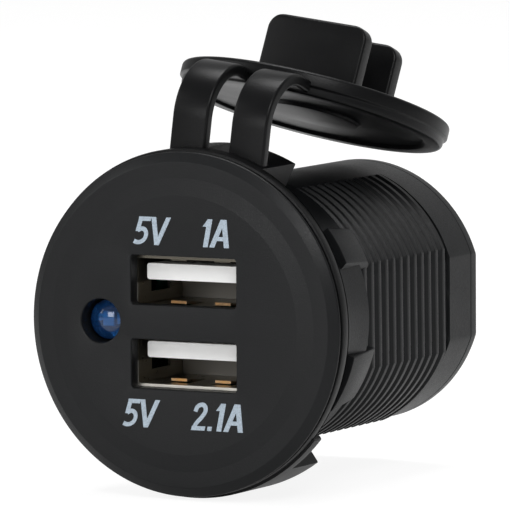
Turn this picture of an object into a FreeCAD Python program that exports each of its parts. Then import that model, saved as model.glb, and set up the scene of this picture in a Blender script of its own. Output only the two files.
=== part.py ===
import FreeCAD, Part
import math
import os

# Dual USB panel socket with a soft flip cover. Millimetres.
# Origin: on the barrel's axis, in the plane of the cover ring's back, which seats on the panel.
# +Y runs back along the barrel, +Z is up and the round face looks along -Y.

V = FreeCAD.Vector
O = V(0, 0, 0)
X = V(1, 0, 0)
Y = V(0, 1, 0)
Z = V(0, 0, 1)

# Face and collar
face_radius = 18.5
face_front = -2.8
face_step_width = 1.85
face_step_drop = 0.25
face_band_width = 1.7
face_rim_width = 1.05
face_rim_drop = 0.7
face_rim_fillet = 0.25
face_edge_chamfer = 0.3
face_wall = 3.5
ring_thickness = 1.3
collar_radius = 15.2
collar_length = 11.6

# Barrel and its thread
barrel_flat = 13.75
thread_crest = 14.9
thread_root = 14.1
thread_pitch = 1.725
thread_start = 11.26
rim_length = 6.8
thread_crest_width = 0.7
thread_root_width = 1.4
thread_burial = 1.1
thread_span = 138.0
flat_groove = 0.3
plain_radius = 14.5
rim_chamfer_length = 0.35
rim_chamfer_depth = 0.35
front_bore = 12.0
rear_bore = 12.6

# Snap lugs beside the flats: first and last angle from the top, in degrees
lug_front = 7.2
lug_back = 14.2
lug_top_radius = 16.1
lug_end_radius = 14.95
lug_spans = [(51.0, 70.0), (103.2, 127.0)]
lug_trim_top = 66.5

# Ports
port_x = 0.3
window_heights = {"upper": 4.7, "lower": -4.3}
port_heights = {"upper": 4.34, "lower": -4.03}
port_inner_width = 12.5
port_inner_height = 5.12
shell_wall = 0.3
shell_recess = 1.5
shell_corner = 0.6
window_margin = 0.08
pocket_clearance = 0.15
port_depth = 10.0
tongue_width = 11.1
tongue_thickness = 1.74
tongue_gap_above = 0.6
tongue_setback = 0.8
contact_pitch = 2.0
contact_width = 1.0
contact_thickness = 0.2
contact_proud = 0.1
contact_leg = 0.5
contact_setback = 0.9
contact_root = 1.5
outer_contact_factor = 1.25
spring_width = 1.9
spring_length = 4.2
spring_proud = 0.42
spring_slot = 0.35
spring_offset = 2.65
spring_setback = 2.0
side_slot_setback = 3.0
side_slot_low = 1.2
side_slot_high = 2.9
shell_leg_half = 1.0
leg_overlap = 0.5
cut_margin = 0.2

# Indicator lamp
lamp_x = -9.75
lamp_z = 0.1
lamp_radius = 2.1
lamp_hole_clearance = 0.25
lamp_recess = 1.15
lamp_dome = 0.6
lamp_body_length = 5.4
lamp_flange_width = 0.1
lamp_flange_length = 0.8
lamp_leg = 0.5
lamp_leg_gap = 1.27
lamp_tip_depth = 1.7
lamp_head_length = 1.6
lamp_leg_start = 1.0
anvil_offset = -0.25
anvil_width = 1.1
anvil_half_height = 0.65
post_offset = 0.95
post_width = 0.7
post_half_height = 0.5

# Boards
port_board_front = 13.5
port_board_thickness = 1.2
board_radius_clearance = 0.1
board_slot_clearance = 0.1
power_board_top = -3.4
power_board_thickness = 1.6
board_gap = 0.9
power_board_length = 19.8
board_edge_gap = 0.25
rail_height = 0.9
rail_depth = 1.6
solder_length = 0.7
pin_size = 0.64
pin_pitch = 2.54
pin_count = 6
pin_drop_gap = 2.9

# Parts on the power board: radii and heights
capacitor_radius = 3.15
capacitor_height = 8.0
inductor_radius = 3.3
inductor_post_radius = 1.6
inductor_coil_radius = 3.0
inductor_height = 5.4
inductor_flange = 1.0

# Places of the parts: across from the axis, and back from the power board's front end
part_x = 7.2
input_capacitor_y = 16.3
output_capacitor_y = 7.0
inductor_y = 13.9
converter_ys = (5.4, 10.5)
diode_x = 9.0
diode_y = 1.9
diode_width = 2.4
diode_length = 3.2
diode_height = 2.0
fuse_x = 9.2
fuse_inset = 1.2
fuse_width = 2.0
fuse_length = 2.2
fuse_height = 1.4
end_cap_length = 0.5
end_cap_inset = 0.4
end_cap_margin = 0.15
end_cap_share = 0.6
body_lift = 0.1

# Controller chip and capacitor details
chip_half_width = 1.95
chip_half_length = 2.45
chip_lift = 0.2
chip_top = 1.6
chip_leg_pitch = 1.27
chip_leg_half = 0.2
chip_leg_start = 1.9
chip_leg_bend = 2.3
chip_leg_reach = 3.0
chip_leg_top = 0.9
can_groove_low = 1.2
can_groove_high = 1.9
can_groove_depth = 0.25
can_rim_chamfer = 0.4

# Rear cap and blades
cap_length = 3.0
cap_board_gap = 2.5
cap_fit = 0.05
cap_lip_radius = 13.1
cap_lip_length = 0.9
cap_dish = 0.8
cap_rim = 1.4
pad_half_width = 1.6
pad_margin = 1.2
pad_inset = 0.1
blade_width = 6.3
blade_thickness = 0.8
blade_reach = 9.7
blade_x = 4.6
blade_root_inset = 3.0
blade_leg = 1.6
blade_hole_radius = 0.85
blade_hole_inset = 3.4
blade_tip_chamfer = 1.0
blade_shoulder = 1.0

# Soft cover
cover_turn = 7.0
ring_fit = 0.1
ring_edge_chamfer = 0.25
ring_overlap = 0.2
ring_overhang = 0.15
ring_rise = 0.15
block_step = 0.15
block_length = 7.8
root_block_half_angle = 19.6
root_notch_depth = 1.8
foot_block_half_angle = 42.7
foot_flange_half_angle = 58.0
foot_flange_length = 1.8
strap_inner_edge = 1.44
strap_shift = 0.24
strap_width = 4.25
strap_front = 0.7
strap_thickness = 1.35
strap_stub_length = 0.4
stub_inset = 0.1
strap_rise = 2.5
strap_bend_radius = 5.7
lid_pitch = 18.0
lid_centre_y = 23.6
lid_centre_rise = 1.4
lid_radius = 15.0
lid_thickness = 2.5
lid_lip_height = 1.45
lid_step = 0.35
lid_lip_width = 1.5
lid_recess = 0.7
lid_dish_radius = 12.4
lid_dish = 0.35
lid_boss_radius = 5.2
lid_edge_chamfer = 0.25
lid_stub = 15.2
lid_stub_overlap = 1.5
plug_width = 12.0
plug_thickness = 2.05
plug_reach = 7.5
plug_floor_gap = 0.5
plug_corner = 1.3

# Positions worked out from the sizes above
ring_front = -ring_thickness
face_band_radius = face_radius - face_rim_width
face_step_radius = face_band_radius - face_band_width
face_flat_radius = face_step_radius - face_step_width
face_back = face_front + face_wall
shell_front = face_front + shell_recess
port_wall = shell_front + port_depth
shell_outer_width = port_inner_width + 2 * shell_wall
shell_outer_height = port_inner_height + 2 * shell_wall
port_board_back = port_board_front + port_board_thickness
board_underside = power_board_top - power_board_thickness
power_board_start = port_board_back + board_gap
power_board_end = power_board_start + power_board_length
pin_drop_y = port_board_back + pin_drop_gap
blade_root_y = power_board_end - blade_root_inset
barrel_end = power_board_end + cap_board_gap + cap_length
thread_end = barrel_end - rim_length
strap_outer_edge = strap_inner_edge + strap_width
ring_radius = face_radius + ring_overhang
block_radius = ring_radius + block_step
block_inner = collar_radius + ring_fit
root_notch_height = block_radius - root_notch_depth
strap_joint_height = block_radius + strap_stub_length
strap_bend_height = strap_joint_height + strap_rise
lid_centre_height = strap_bend_height + lid_centre_rise
pin_level = (port_heights["upper"] + port_heights["lower"]) / 2


def block(x0, x1, y0, y1, z0, z1):
    """A box between two corners."""
    return Part.makeBox(x1 - x0, y1 - y0, z1 - z0, V(x0, y0, z0))


def rod(radius, y0, y1, x=0.0, z=0.0):
    """A round bar along Y."""
    return Part.makeCylinder(radius, y1 - y0, V(x, y0, z), Y)


def post(radius, x, y, z0, z1):
    """A round bar along Z."""
    return Part.makeCylinder(radius, z1 - z0, V(x, y, z0), Z)


def turned(points, angle=360.0):
    """A closed (radius, y) outline turned about the barrel's axis."""
    corners = [V(r, y, 0) for r, y in points]
    outline = Part.makePolygon(corners + [corners[0]])
    return Part.Face(outline).revolve(O, Y, angle)


def slab(outline, direction):
    """A closed list of points carried straight along a direction."""
    return Part.Face(Part.makePolygon(outline + [outline[0]])).extrude(direction)


def sector(start, end, y0, y1, reach=30.0):
    """A wedge between two angles measured from the top towards +X."""
    middle = math.radians((start + end) / 2)
    half = math.radians((end - start) / 2)
    far = reach / math.cos(half)
    points = [V(0, y0, 0)]
    for angle in (middle - half, middle, middle + half):
        length = far if angle != middle else reach * 1.3
        points.append(V(length * math.sin(angle), y0, length * math.cos(angle)))
    return slab(points, V(0, y1 - y0, 0))


def rounded_bar(x0, x1, z0, z1, y0, y1, radius):
    """A bar along Y with rounded long edges."""
    bar = block(x0, x1, y0, y1, z0, z1)
    edges = []
    for edge in bar.Edges:
        along = abs(edge.tangentAt(edge.FirstParameter).y) > 0.99
        if along and abs(edge.Length - (y1 - y0)) < 1e-6:
            edges.append(edge)
    return bar.makeFillet(radius, edges)


def face_disc():
    """The round face: flat centre, a shallow step, a level band, a falling rim and a rear chamfer."""
    band_y = face_front + face_step_drop
    rim_y = band_y + face_rim_drop
    disc = turned([
        (0, face_front),
        (face_flat_radius, face_front),
        (face_step_radius, band_y),
        (face_band_radius, band_y),
        (face_radius, rim_y),
        (face_radius, ring_front - face_edge_chamfer),
        (face_radius - face_edge_chamfer, ring_front),
        (0, ring_front),
    ])
    front = []
    for edge in disc.Edges:
        box = edge.BoundBox
        if box.YLength < 1e-6 and abs(box.YMin - band_y) < 1e-6 and abs(box.XMax - face_band_radius) < 1e-3:
            front.append(edge)
        if box.YLength < 1e-6 and abs(box.YMin - rim_y) < 1e-6 and abs(box.XMax - face_radius) < 1e-3:
            front.append(edge)
    return disc.makeFillet(face_rim_fillet, front)


def thread_ridge():
    """One arc of right-hand thread: a trapezoid swept along a helix, its middle on +X at Y 0."""
    inner = thread_root - thread_burial
    flare = (thread_root_width - thread_crest_width) / 2 / (thread_crest - thread_root)
    foot = thread_crest_width / 2 + flare * (thread_crest - inner)
    tip = thread_crest_width / 2
    corners = [V(inner, 0, -foot), V(thread_crest, 0, -tip), V(thread_crest, 0, tip), V(inner, 0, foot)]
    rise = thread_pitch * thread_span / 360
    helix = Part.makeHelix(thread_pitch, rise, thread_root)
    profile = Part.makePolygon(corners + [corners[0]])
    ridge = Part.Wire(helix.Edges).makePipeShell([profile], True, True)
    ridge.rotate(O, Z, -thread_span / 2)
    ridge.translate(V(0, 0, -rise / 2))
    ridge.rotate(O, X, -90)
    return ridge


def barrel():
    """Collar, plain core with flats, and the thread on both sides."""
    flats = block(-barrel_flat, barrel_flat, collar_length, barrel_end, -20, 20)
    floor = barrel_flat - flat_groove
    core = rod(thread_root, collar_length, thread_end)
    core = core.common(block(-floor, floor, collar_length, barrel_end, -20, 20))
    smooth = (180.0 - thread_span) / 2 + 1.5
    top = sector(-smooth, smooth, collar_length, thread_end)
    bottom = sector(180 - smooth, 180 + smooth, collar_length, thread_end)
    plain = rod(plain_radius, collar_length, thread_end).common(top.fuse(bottom))
    rim = turned([
        (0, thread_end),
        (plain_radius, thread_end),
        (plain_radius, barrel_end - rim_chamfer_length),
        (plain_radius - rim_chamfer_depth, barrel_end),
        (0, barrel_end),
    ]).common(flats)
    collar = rod(collar_radius, ring_front, collar_length)
    ridge = thread_ridge()
    ridges = []
    count = int((thread_end - thread_start) / thread_pitch)
    for turn in range(count):
        for side in (0, 1):
            arc = ridge.copy()
            arc.rotate(O, Y, 180 * side)
            arc.translate(V(0, thread_start + thread_pitch * (turn + 0.4 + side / 2), 0))
            ridges.append(arc.common(flats))
    body = core.fuse([plain, rim, collar]).removeSplitter()
    return body.fuse(ridges)


def lug_end_trim(base_angle):
    """The wedge cut off a lug's lower end, from its foot at the base angle to its top at the trim angle."""
    low = math.radians(base_angle)
    high = math.radians(lug_trim_top)
    foot = V(thread_root * math.sin(low), lug_front - 1, thread_root * math.cos(low))
    top = V(lug_top_radius * math.sin(high), lug_front - 1, lug_top_radius * math.cos(high))
    along = (top - foot).normalize()
    away = V(along.z, 0, -along.x)
    corners = [foot - along * 2, top + along * 3, top + along * 3 + away * 5, foot - along * 2 + away * 5]
    return slab(corners, V(0, lug_back - lug_front + 2, 0))


def snap_lugs():
    """Ramps that rise towards the face and hold the socket in its panel, alike on both sides."""
    ramp = turned([
        (thread_root - 0.2, lug_front),
        (lug_top_radius, lug_front),
        (lug_end_radius, lug_back),
        (thread_root - 0.2, lug_back),
    ])
    lugs = []
    for start, end in lug_spans:
        lug = ramp.common(sector(start, end, lug_front, lug_back))
        if start < lug_trim_top < end:
            lug = lug.cut(lug_end_trim(end))
        lugs.append(lug)
        lugs.append(lug.mirror(O, X))
    return lugs


def board_rails():
    """Two pairs of ribs in the bore that grip the power board's long edges."""
    inner = rear_bore - rail_depth
    band = turned([
        (inner, power_board_start), (thread_root, power_board_start),
        (thread_root, power_board_end), (inner, power_board_end),
    ])
    low = board_underside - board_slot_clearance
    high = power_board_top + board_slot_clearance
    upper = block(-20, 20, power_board_start, power_board_end, high, high + rail_height)
    lower = block(-20, 20, power_board_start, power_board_end, low - rail_height, low)
    return band.common(upper.fuse(lower))


def port_cut(window_height, height):
    """Window in the face and the pocket behind it that holds a port's shell."""
    half_w = port_inner_width / 2 + window_margin
    half_h = port_inner_height / 2 + window_margin
    window = rounded_bar(port_x - half_w, port_x + half_w, window_height - half_h, window_height + half_h,
                         face_front - 1, shell_front, 0.3)
    pocket_w = shell_outer_width / 2 + pocket_clearance
    pocket_h = shell_outer_height / 2 + pocket_clearance
    pocket = rounded_bar(port_x - pocket_w, port_x + pocket_w, height - pocket_h, height + pocket_h,
                         shell_front, face_back + 1, shell_corner)
    return window.fuse(pocket)


def housing():
    """Face, collar, lugs and threaded barrel as one moulding, open inside."""
    body = face_disc().fuse([barrel()] + snap_lugs())
    bores = rod(front_bore, face_back, port_board_front + 0.1)
    bores = bores.fuse(rod(rear_bore, port_board_front, barrel_end + 1))
    bores = bores.fuse(rod(cap_lip_radius + cap_fit, barrel_end - cap_lip_length, barrel_end + 1))
    body = body.cut(bores)
    body = body.fuse(board_rails())
    for place, height in port_heights.items():
        body = body.cut(port_cut(window_heights[place], height))
    body = body.cut(rod(lamp_radius + lamp_hole_clearance, face_front - 1, face_back + 1, lamp_x, lamp_z))
    return body.removeSplitter()


def spring_tongue(x, wall_z, inward, start):
    """A leaf that leans into the port from the shell's floor (inward 1) or roof (inward -1)."""
    half = spring_width / 2
    end = start + spring_length
    root = [V(x - half, end, wall_z), V(x - half, end, wall_z - inward * shell_wall)]
    tip_in = wall_z + inward * spring_proud
    tip = [V(x - half, start + 0.5, tip_in - inward * shell_wall), V(x - half, start + 0.5, tip_in)]
    return slab(root + tip, V(spring_width, 0, 0))


def usb_shell(height):
    """Folded nickel shell with springs in its floor, roof and sides, and two solder legs."""
    half_w = port_inner_width / 2
    half_h = port_inner_height / 2
    back = port_board_front
    outer_w = half_w + shell_wall
    outer_h = half_h + shell_wall
    outer = rounded_bar(port_x - outer_w, port_x + outer_w, height - outer_h, height + outer_h,
                        shell_front, back, shell_corner)
    inner = rounded_bar(port_x - half_w, port_x + half_w, height - half_h, height + half_h,
                        shell_front - 1, back + 1, shell_corner - shell_wall)
    shell = outer.cut(inner)
    start = shell_front + spring_setback
    side_start = shell_front + side_slot_setback
    slot = spring_width / 2 + spring_slot
    springs = []
    for x in (port_x - spring_offset, port_x + spring_offset):
        for inward in (1, -1):
            wall_z = height - inward * half_h
            z0 = min(wall_z, wall_z - inward * shell_wall)
            shell = shell.cut(block(x - slot, x + slot, start, start + spring_length,
                                    z0 - cut_margin, z0 + shell_wall + cut_margin))
            springs.append(spring_tongue(x, wall_z, inward, start))
    for side in (-1, 1):
        wall_x = port_x + side * half_w
        x0 = min(wall_x, wall_x + side * shell_wall)
        shell = shell.cut(block(x0 - cut_margin, x0 + shell_wall + cut_margin,
                                side_start, side_start + spring_length,
                                height - half_h + side_slot_low, height - half_h + side_slot_high))
        legs = block(x0, x0 + shell_wall, back - leg_overlap, port_board_back + solder_length,
                     height - shell_leg_half, height + shell_leg_half)
        springs.append(legs)
    return shell.fuse(springs)


def contact_places():
    """Across the port, the middle of each of the four contacts."""
    inner = contact_pitch / 2
    outer = outer_contact_factor * 1.5 * contact_pitch
    return [port_x - outer, port_x - inner, port_x + inner, port_x + outer]


def tongue_levels(height):
    """Lower and upper face of the tongue."""
    top = height + port_inner_height / 2 - tongue_gap_above
    return top - tongue_thickness, top


def usb_contacts(height):
    """Four strips under the tongue, each running back through the insulator into the board."""
    low, _ = tongue_levels(height)
    strips = []
    z0 = low - contact_proud
    z1 = z0 + contact_thickness
    front = shell_front + tongue_setback + contact_setback
    back = port_wall + contact_root
    for x in contact_places():
        strip = block(x - contact_width / 2, x + contact_width / 2, front, back, z0, z1)
        leg = block(x - contact_leg / 2, x + contact_leg / 2, back - leg_overlap,
                    port_board_back + solder_length, z0, z1)
        strips.append(strip.fuse(leg).removeSplitter())
    return strips


def usb_insulator(height):
    """White insulator: a rear block that fills the shell, and the tongue that stands out of it."""
    half_w = port_inner_width / 2 - 0.02
    half_h = port_inner_height / 2 - 0.02
    low, top = tongue_levels(height)
    rear = rounded_bar(port_x - half_w, port_x + half_w, height - half_h, height + half_h,
                       port_wall, port_board_front, shell_corner - shell_wall)
    tongue = rounded_bar(port_x - tongue_width / 2, port_x + tongue_width / 2, low, top,
                         shell_front + tongue_setback, port_wall + 1, 0.3)
    body = rear.fuse(tongue)
    for strip in usb_contacts(height):
        body = body.cut(strip)
    return body


def lamp_leads():
    """Anvil and post of the lamp's lead frame, with their legs down to the port board."""
    tip = face_front + lamp_recess + lamp_tip_depth
    leg_front = tip + lamp_leg_start
    head_back = tip + lamp_head_length
    end = port_board_back + solder_length
    half = lamp_leg / 2
    heads = (
        (-1, anvil_offset, anvil_width, anvil_half_height),
        (1, post_offset, post_width, post_half_height),
    )
    parts = []
    for side, offset, width, half_height in heads:
        x = lamp_x + side * lamp_leg_gap
        head_x0 = lamp_x + offset - width / 2
        head_x1 = lamp_x + offset + width / 2
        leg = block(x - half, x + half, leg_front, end, lamp_z - half, lamp_z + half)
        x0 = min(head_x0, x - half)
        x1 = max(head_x1, x + half)
        bridge = block(x0, x1, leg_front, head_back, lamp_z - half, lamp_z + half)
        head = block(head_x0, head_x1, tip, head_back, lamp_z - half_height, lamp_z + half_height)
        parts.append(leg.fuse([bridge, head]).removeSplitter())
    return parts


def lamp_lens():
    """Clear blue lamp body with a domed front and a rear flange, moulded round its leads."""
    front = face_front + lamp_recess
    sphere_radius = (lamp_radius ** 2 + lamp_dome ** 2) / (2 * lamp_dome)
    body = rod(lamp_radius, front, front + lamp_body_length, lamp_x, lamp_z)
    ball = Part.makeSphere(sphere_radius, V(lamp_x, front + sphere_radius, lamp_z))
    nose = body.common(ball.fuse(rod(lamp_radius + 1, front + lamp_dome, front + 20, lamp_x, lamp_z)))
    back = front + lamp_body_length
    flange = rod(lamp_radius + lamp_flange_width, back - lamp_flange_length, back, lamp_x, lamp_z)
    lens = nose.fuse(flange)
    for lead in lamp_leads():
        lens = lens.cut(lead)
    return lens


def board_pins():
    """Right-angled pins from the port board down into the power board."""
    half = pin_size / 2
    z = pin_level
    pins = []
    for k in range(pin_count):
        x = pin_pitch * (k - (pin_count - 1) / 2)
        level = block(x - half, x + half, port_board_front - solder_length, pin_drop_y + half,
                      z - half, z + half)
        drop = block(x - half, x + half, pin_drop_y - half, pin_drop_y + half,
                     board_underside - solder_length, z + half)
        pins.append(level.fuse(drop).removeSplitter())
    return pins


def port_board():
    """Round board behind the ports, drilled for contacts, shell legs, lamp and pins."""
    board = rod(rear_bore - board_radius_clearance, port_board_front, port_board_back)
    y0 = port_board_front - 1
    y1 = port_board_back + 1
    low = pin_level - pin_size / 2
    for k in range(pin_count):
        x = pin_pitch * (k - (pin_count - 1) / 2)
        half = pin_size / 2 + board_slot_clearance
        board = board.cut(block(x - half, x + half, y0, y1, low - board_slot_clearance,
                                low + pin_size + board_slot_clearance))
    for height in port_heights.values():
        for x in contact_places():
            under, _ = tongue_levels(height)
            z = under - contact_proud + contact_thickness / 2
            half = contact_leg / 2 + board_slot_clearance
            board = board.cut(block(x - half, x + half, y0, y1, z - half, z + half))
        for side in (-1, 1):
            x = port_x + side * (port_inner_width / 2 + shell_wall / 2)
            half = shell_wall / 2 + board_slot_clearance
            reach = shell_leg_half + board_slot_clearance
            board = board.cut(block(x - half, x + half, y0, y1, height - reach, height + reach))
    half = lamp_leg / 2 + board_slot_clearance
    for side in (-1, 1):
        x = lamp_x + side * lamp_leg_gap
        board = board.cut(block(x - half, x + half, y0, y1, lamp_z - half, lamp_z + half))
    return board


def power_board():
    """Lengthwise board on the rails, with slots for the pins and the blades' legs."""
    half = math.sqrt(rear_bore ** 2 - board_underside ** 2) - board_edge_gap
    board = block(-half, half, power_board_start, power_board_end, board_underside, power_board_top)
    for k in range(pin_count):
        x = pin_pitch * (k - (pin_count - 1) / 2)
        hole = pin_size / 2 + board_slot_clearance
        board = board.cut(block(x - hole, x + hole, pin_drop_y - hole, pin_drop_y + hole, -20, 20))
    for side in (-1, 1):
        slot = blade_thickness / 2 + board_slot_clearance
        board = board.cut(block(side * blade_x - slot, side * blade_x + slot,
                                blade_root_y - board_slot_clearance,
                                blade_root_y + blade_leg + board_slot_clearance, -20, 20))
    return board


def blade(side):
    """Push-on blade: bevelled tip with a hole, shoulder behind the cap and a leg into the board."""
    tip = barrel_end + blade_reach
    half = blade_width / 2
    cap_front = barrel_end - cap_length
    bevel = blade_tip_chamfer
    x = side * blade_x - blade_thickness / 2
    stop = cap_front - cap_fit
    outline = [
        (blade_root_y, board_underside - solder_length),
        (blade_root_y + blade_leg, board_underside - solder_length),
        (blade_root_y + blade_leg, -half),
        (stop - blade_shoulder, -half),
        (stop - blade_shoulder, -half - blade_shoulder),
        (stop, -half - blade_shoulder),
        (stop, -half),
        (tip - bevel, -half),
        (tip, -half + bevel),
        (tip, half - bevel),
        (tip - bevel, half),
        (stop, half),
        (stop, half + blade_shoulder),
        (stop - blade_shoulder, half + blade_shoulder),
        (stop - blade_shoulder, half),
        (blade_root_y, half),
    ]
    plate = slab([V(x, y, z) for y, z in outline], V(blade_thickness, 0, 0))
    hole = Part.makeCylinder(blade_hole_radius, 4, V(x - 1, tip - blade_hole_inset, 0), X)
    return plate.cut(hole)


def rear_cap():
    """Plug in the barrel's rear with a lip, a dished outside and two blade slots."""
    front = barrel_end - cap_length
    radius = rear_bore - cap_fit
    body = turned([
        (0, front), (radius, front), (radius, barrel_end - cap_lip_length),
        (cap_lip_radius, barrel_end - cap_lip_length), (cap_lip_radius, barrel_end), (0, barrel_end),
    ])
    body = body.cut(rod(radius - cap_rim, barrel_end - cap_dish, barrel_end + 1))
    half = blade_width / 2
    for side in (-1, 1):
        pad = block(side * blade_x - pad_half_width, side * blade_x + pad_half_width,
                    front, barrel_end - pad_inset, -half - pad_margin, half + pad_margin)
        body = body.fuse(pad)
    for side in (-1, 1):
        slot = blade_thickness / 2 + cap_fit
        body = body.cut(block(side * blade_x - slot, side * blade_x + slot, front - 1, barrel_end + 1,
                              -half - cap_fit, half + cap_fit))
    return body


def can_capacitor(x, y):
    """Upright can with a rolled groove near its foot."""
    radius = capacitor_radius
    height = capacitor_height
    z = power_board_top
    can = post(radius, x, y, z, z + height)
    groove = post(radius + 1, x, y, z + can_groove_low, z + can_groove_high)
    groove = groove.cut(post(radius - can_groove_depth, x, y, z, z + can_groove_high + 1))
    can = can.cut(groove)
    rims = [e for e in can.Edges if abs(e.BoundBox.ZMin - (z + height)) < 1e-6 and e.BoundBox.ZLength < 1e-6]
    return can.makeChamfer(can_rim_chamfer, rims)


def inductor_core(x, y):
    """Ferrite bobbin: two round flanges on a post."""
    z = power_board_top
    base = post(inductor_radius, x, y, z, z + inductor_flange)
    top = post(inductor_radius, x, y, z + inductor_height - inductor_flange, z + inductor_height)
    return base.fuse([post(inductor_post_radius, x, y, z, z + inductor_height), top]).removeSplitter()


def inductor_coil(x, y):
    """Winding between a bobbin's flanges."""
    z0 = power_board_top + inductor_flange
    z1 = power_board_top + inductor_height - inductor_flange
    return post(inductor_coil_radius, x, y, z0, z1).cut(post(inductor_post_radius, x, y, z0 - 1, z1 + 1))


def converter_chip(x, y):
    """Eight-legged controller chip."""
    z = power_board_top
    body = block(x - chip_half_width, x + chip_half_width, y - chip_half_length, y + chip_half_length,
                 z + chip_lift, z + chip_top)
    legs = []
    for k in range(4):
        y0 = y + chip_leg_pitch * (k - 1.5) - chip_leg_half
        y1 = y0 + 2 * chip_leg_half
        for side in (-1, 1):
            foot = sorted((x + side * chip_leg_start, x + side * chip_leg_reach))
            rise = sorted((x + side * chip_leg_start, x + side * chip_leg_bend))
            legs.append(block(foot[0], foot[1], y0, y1, z, z + chip_lift))
            legs.append(block(rise[0], rise[1], y0, y1, z, z + chip_leg_top))
    return body.fuse(legs).removeSplitter()


def block_device(x, y, width, length, height):
    """Moulded part with wrap-round end caps."""
    z = power_board_top
    body = block(x - width / 2, x + width / 2, y - length / 2 + end_cap_inset, y + length / 2 - end_cap_inset,
                 z + body_lift, z + height)
    half = width / 2 - end_cap_margin
    ends = []
    for side in (-1, 1):
        y0, y1 = sorted((y + side * (length / 2 - end_cap_length), y + side * length / 2))
        ends.append(block(x - half, x + half, y0, y1, z, z + height * end_cap_share))
    return body.fuse(ends).removeSplitter()


def diode(x):
    """Rectifier on the power board beside the port board."""
    return block_device(x, power_board_start + diode_y, diode_width, diode_length, diode_height)


def to_cover(shape):
    """Turns a shape built upright into the cover's own turn about the barrel."""
    placed = shape.copy()
    placed.rotate(O, Y, cover_turn)
    return placed


def strap_spans():
    """Left and right edge of each strap."""
    left = (strap_shift - strap_outer_edge, strap_shift - strap_inner_edge)
    right = (strap_shift + strap_inner_edge, strap_shift + strap_outer_edge)
    return [left, right]


def cover_ring():
    """Ring behind the face with the straps' notched root block, the foot block with its low flange, and
    a stub for each strap that starts where the root block is wide enough to carry it."""
    bore = rod(collar_radius + ring_fit, ring_front - 1, 1)
    ring = rod(ring_radius, ring_front, 0, 0.0, ring_rise)
    rims = [e for e in ring.Edges if e.BoundBox.YLength < 1e-6 and e.BoundBox.ZLength > 1]
    ring = ring.makeChamfer(ring_edge_chamfer, rims).cut(bore)
    band = rod(block_radius, -ring_overlap, block_length).cut(rod(block_inner, -1, block_length + 1))
    root = band.common(sector(-root_block_half_angle, root_block_half_angle, -ring_overlap, block_length))
    left, right = strap_spans()
    root = root.cut(block(left[1], right[0], strap_front, block_length + 1,
                          root_notch_height, block_radius + 1))
    foot = band.common(sector(180 - foot_block_half_angle, 180 + foot_block_half_angle,
                              -ring_overlap, block_length))
    flange = band.common(sector(180 - foot_flange_half_angle, 180 + foot_flange_half_angle,
                                -ring_overlap, foot_flange_length))
    parts = [root, foot, flange]
    for x0, x1 in strap_spans():
        beside = max(abs(x0), abs(x1)) / math.tan(math.radians(root_block_half_angle))
        stub_foot = max(beside, block_inner) + stub_inset
        parts.append(block(x0, x1, strap_front, strap_front + strap_thickness, stub_foot, strap_joint_height))
    return to_cover(ring.fuse(parts))


def lid_axes():
    """The lid's centre, its direction away from the straps and the direction its plugs point."""
    pitch = math.radians(lid_pitch)
    away = V(0, math.cos(pitch), -math.sin(pitch))
    up = V(0, math.sin(pitch), math.cos(pitch))
    return V(0, lid_centre_y, lid_centre_height), away, up


def lid_point(x, b, h):
    """A point at x across, b from the lid's centre away from the straps and h above its lip."""
    centre, away, up = lid_axes()
    return centre + V(x, 0, 0) + away * b + up * h


def cover_straps():
    """Two straps that rise from the ring and bend back over to the lid's near edge."""
    centre_y = strap_front + strap_bend_radius
    centre_z = strap_bend_height
    inner = strap_bend_radius - strap_thickness
    end_angle = math.radians(90 - lid_pitch)

    def on_bend(radius, angle):
        return V(0, centre_y + radius * math.cos(angle), centre_z + radius * math.sin(angle))

    lid_drop = (on_bend(strap_bend_radius, end_angle) - lid_point(0, 0, 0)).dot(lid_axes()[2])
    straps = []
    for x0, x1 in strap_spans():
        start = V(0, strap_front, strap_joint_height)
        bend = V(0, strap_front, strap_bend_height)
        top_end = lid_point(0, -lid_stub, lid_drop)
        low_end = lid_point(0, -lid_stub, lid_drop - strap_thickness)
        inner_bend = V(0, strap_front + strap_thickness, strap_bend_height)
        inner_start = V(0, strap_front + strap_thickness, strap_joint_height)
        middle = (math.pi + end_angle) / 2
        outer_end = on_bend(strap_bend_radius, end_angle)
        edges = [
            Part.LineSegment(start, bend).toShape(),
            Part.Arc(bend, on_bend(strap_bend_radius, middle), outer_end).toShape(),
            Part.LineSegment(outer_end, top_end).toShape(),
            Part.LineSegment(top_end, low_end).toShape(),
            Part.LineSegment(low_end, on_bend(inner, end_angle)).toShape(),
            Part.Arc(on_bend(inner, end_angle), on_bend(inner, middle), inner_bend).toShape(),
            Part.LineSegment(inner_bend, inner_start).toShape(),
            Part.LineSegment(inner_start, start).toShape(),
        ]
        profile = Part.Face(Part.Wire(edges))
        profile.translate(V(x0, 0, 0))
        straps.append(to_cover(profile.extrude(V(x1 - x0, 0, 0))))
    return straps


def lid_disc():
    """Lid seen with its plugs up: lip, stepped wall, sealing recess and a dished outside."""
    step = lid_radius - lid_step
    disc = turned([
        (0, 0), (lid_radius, 0), (lid_radius, -lid_lip_height), (step, -lid_lip_height - 0.2),
        (step, -lid_thickness), (0, -lid_thickness),
    ])
    edges = [e for e in disc.Edges if e.BoundBox.YLength < 1e-6 and
             (abs(e.BoundBox.YMin) < 1e-6 or abs(e.BoundBox.YMin + lid_thickness) < 1e-6)]
    disc = disc.makeChamfer(lid_edge_chamfer, edges)
    disc = disc.cut(rod(lid_radius - lid_lip_width, -lid_recess, 1))
    dish = rod(lid_dish_radius, -lid_thickness - 1, -lid_thickness + lid_dish)
    return disc.cut(dish.cut(rod(lid_boss_radius, -lid_thickness - 2, 0)))


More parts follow.
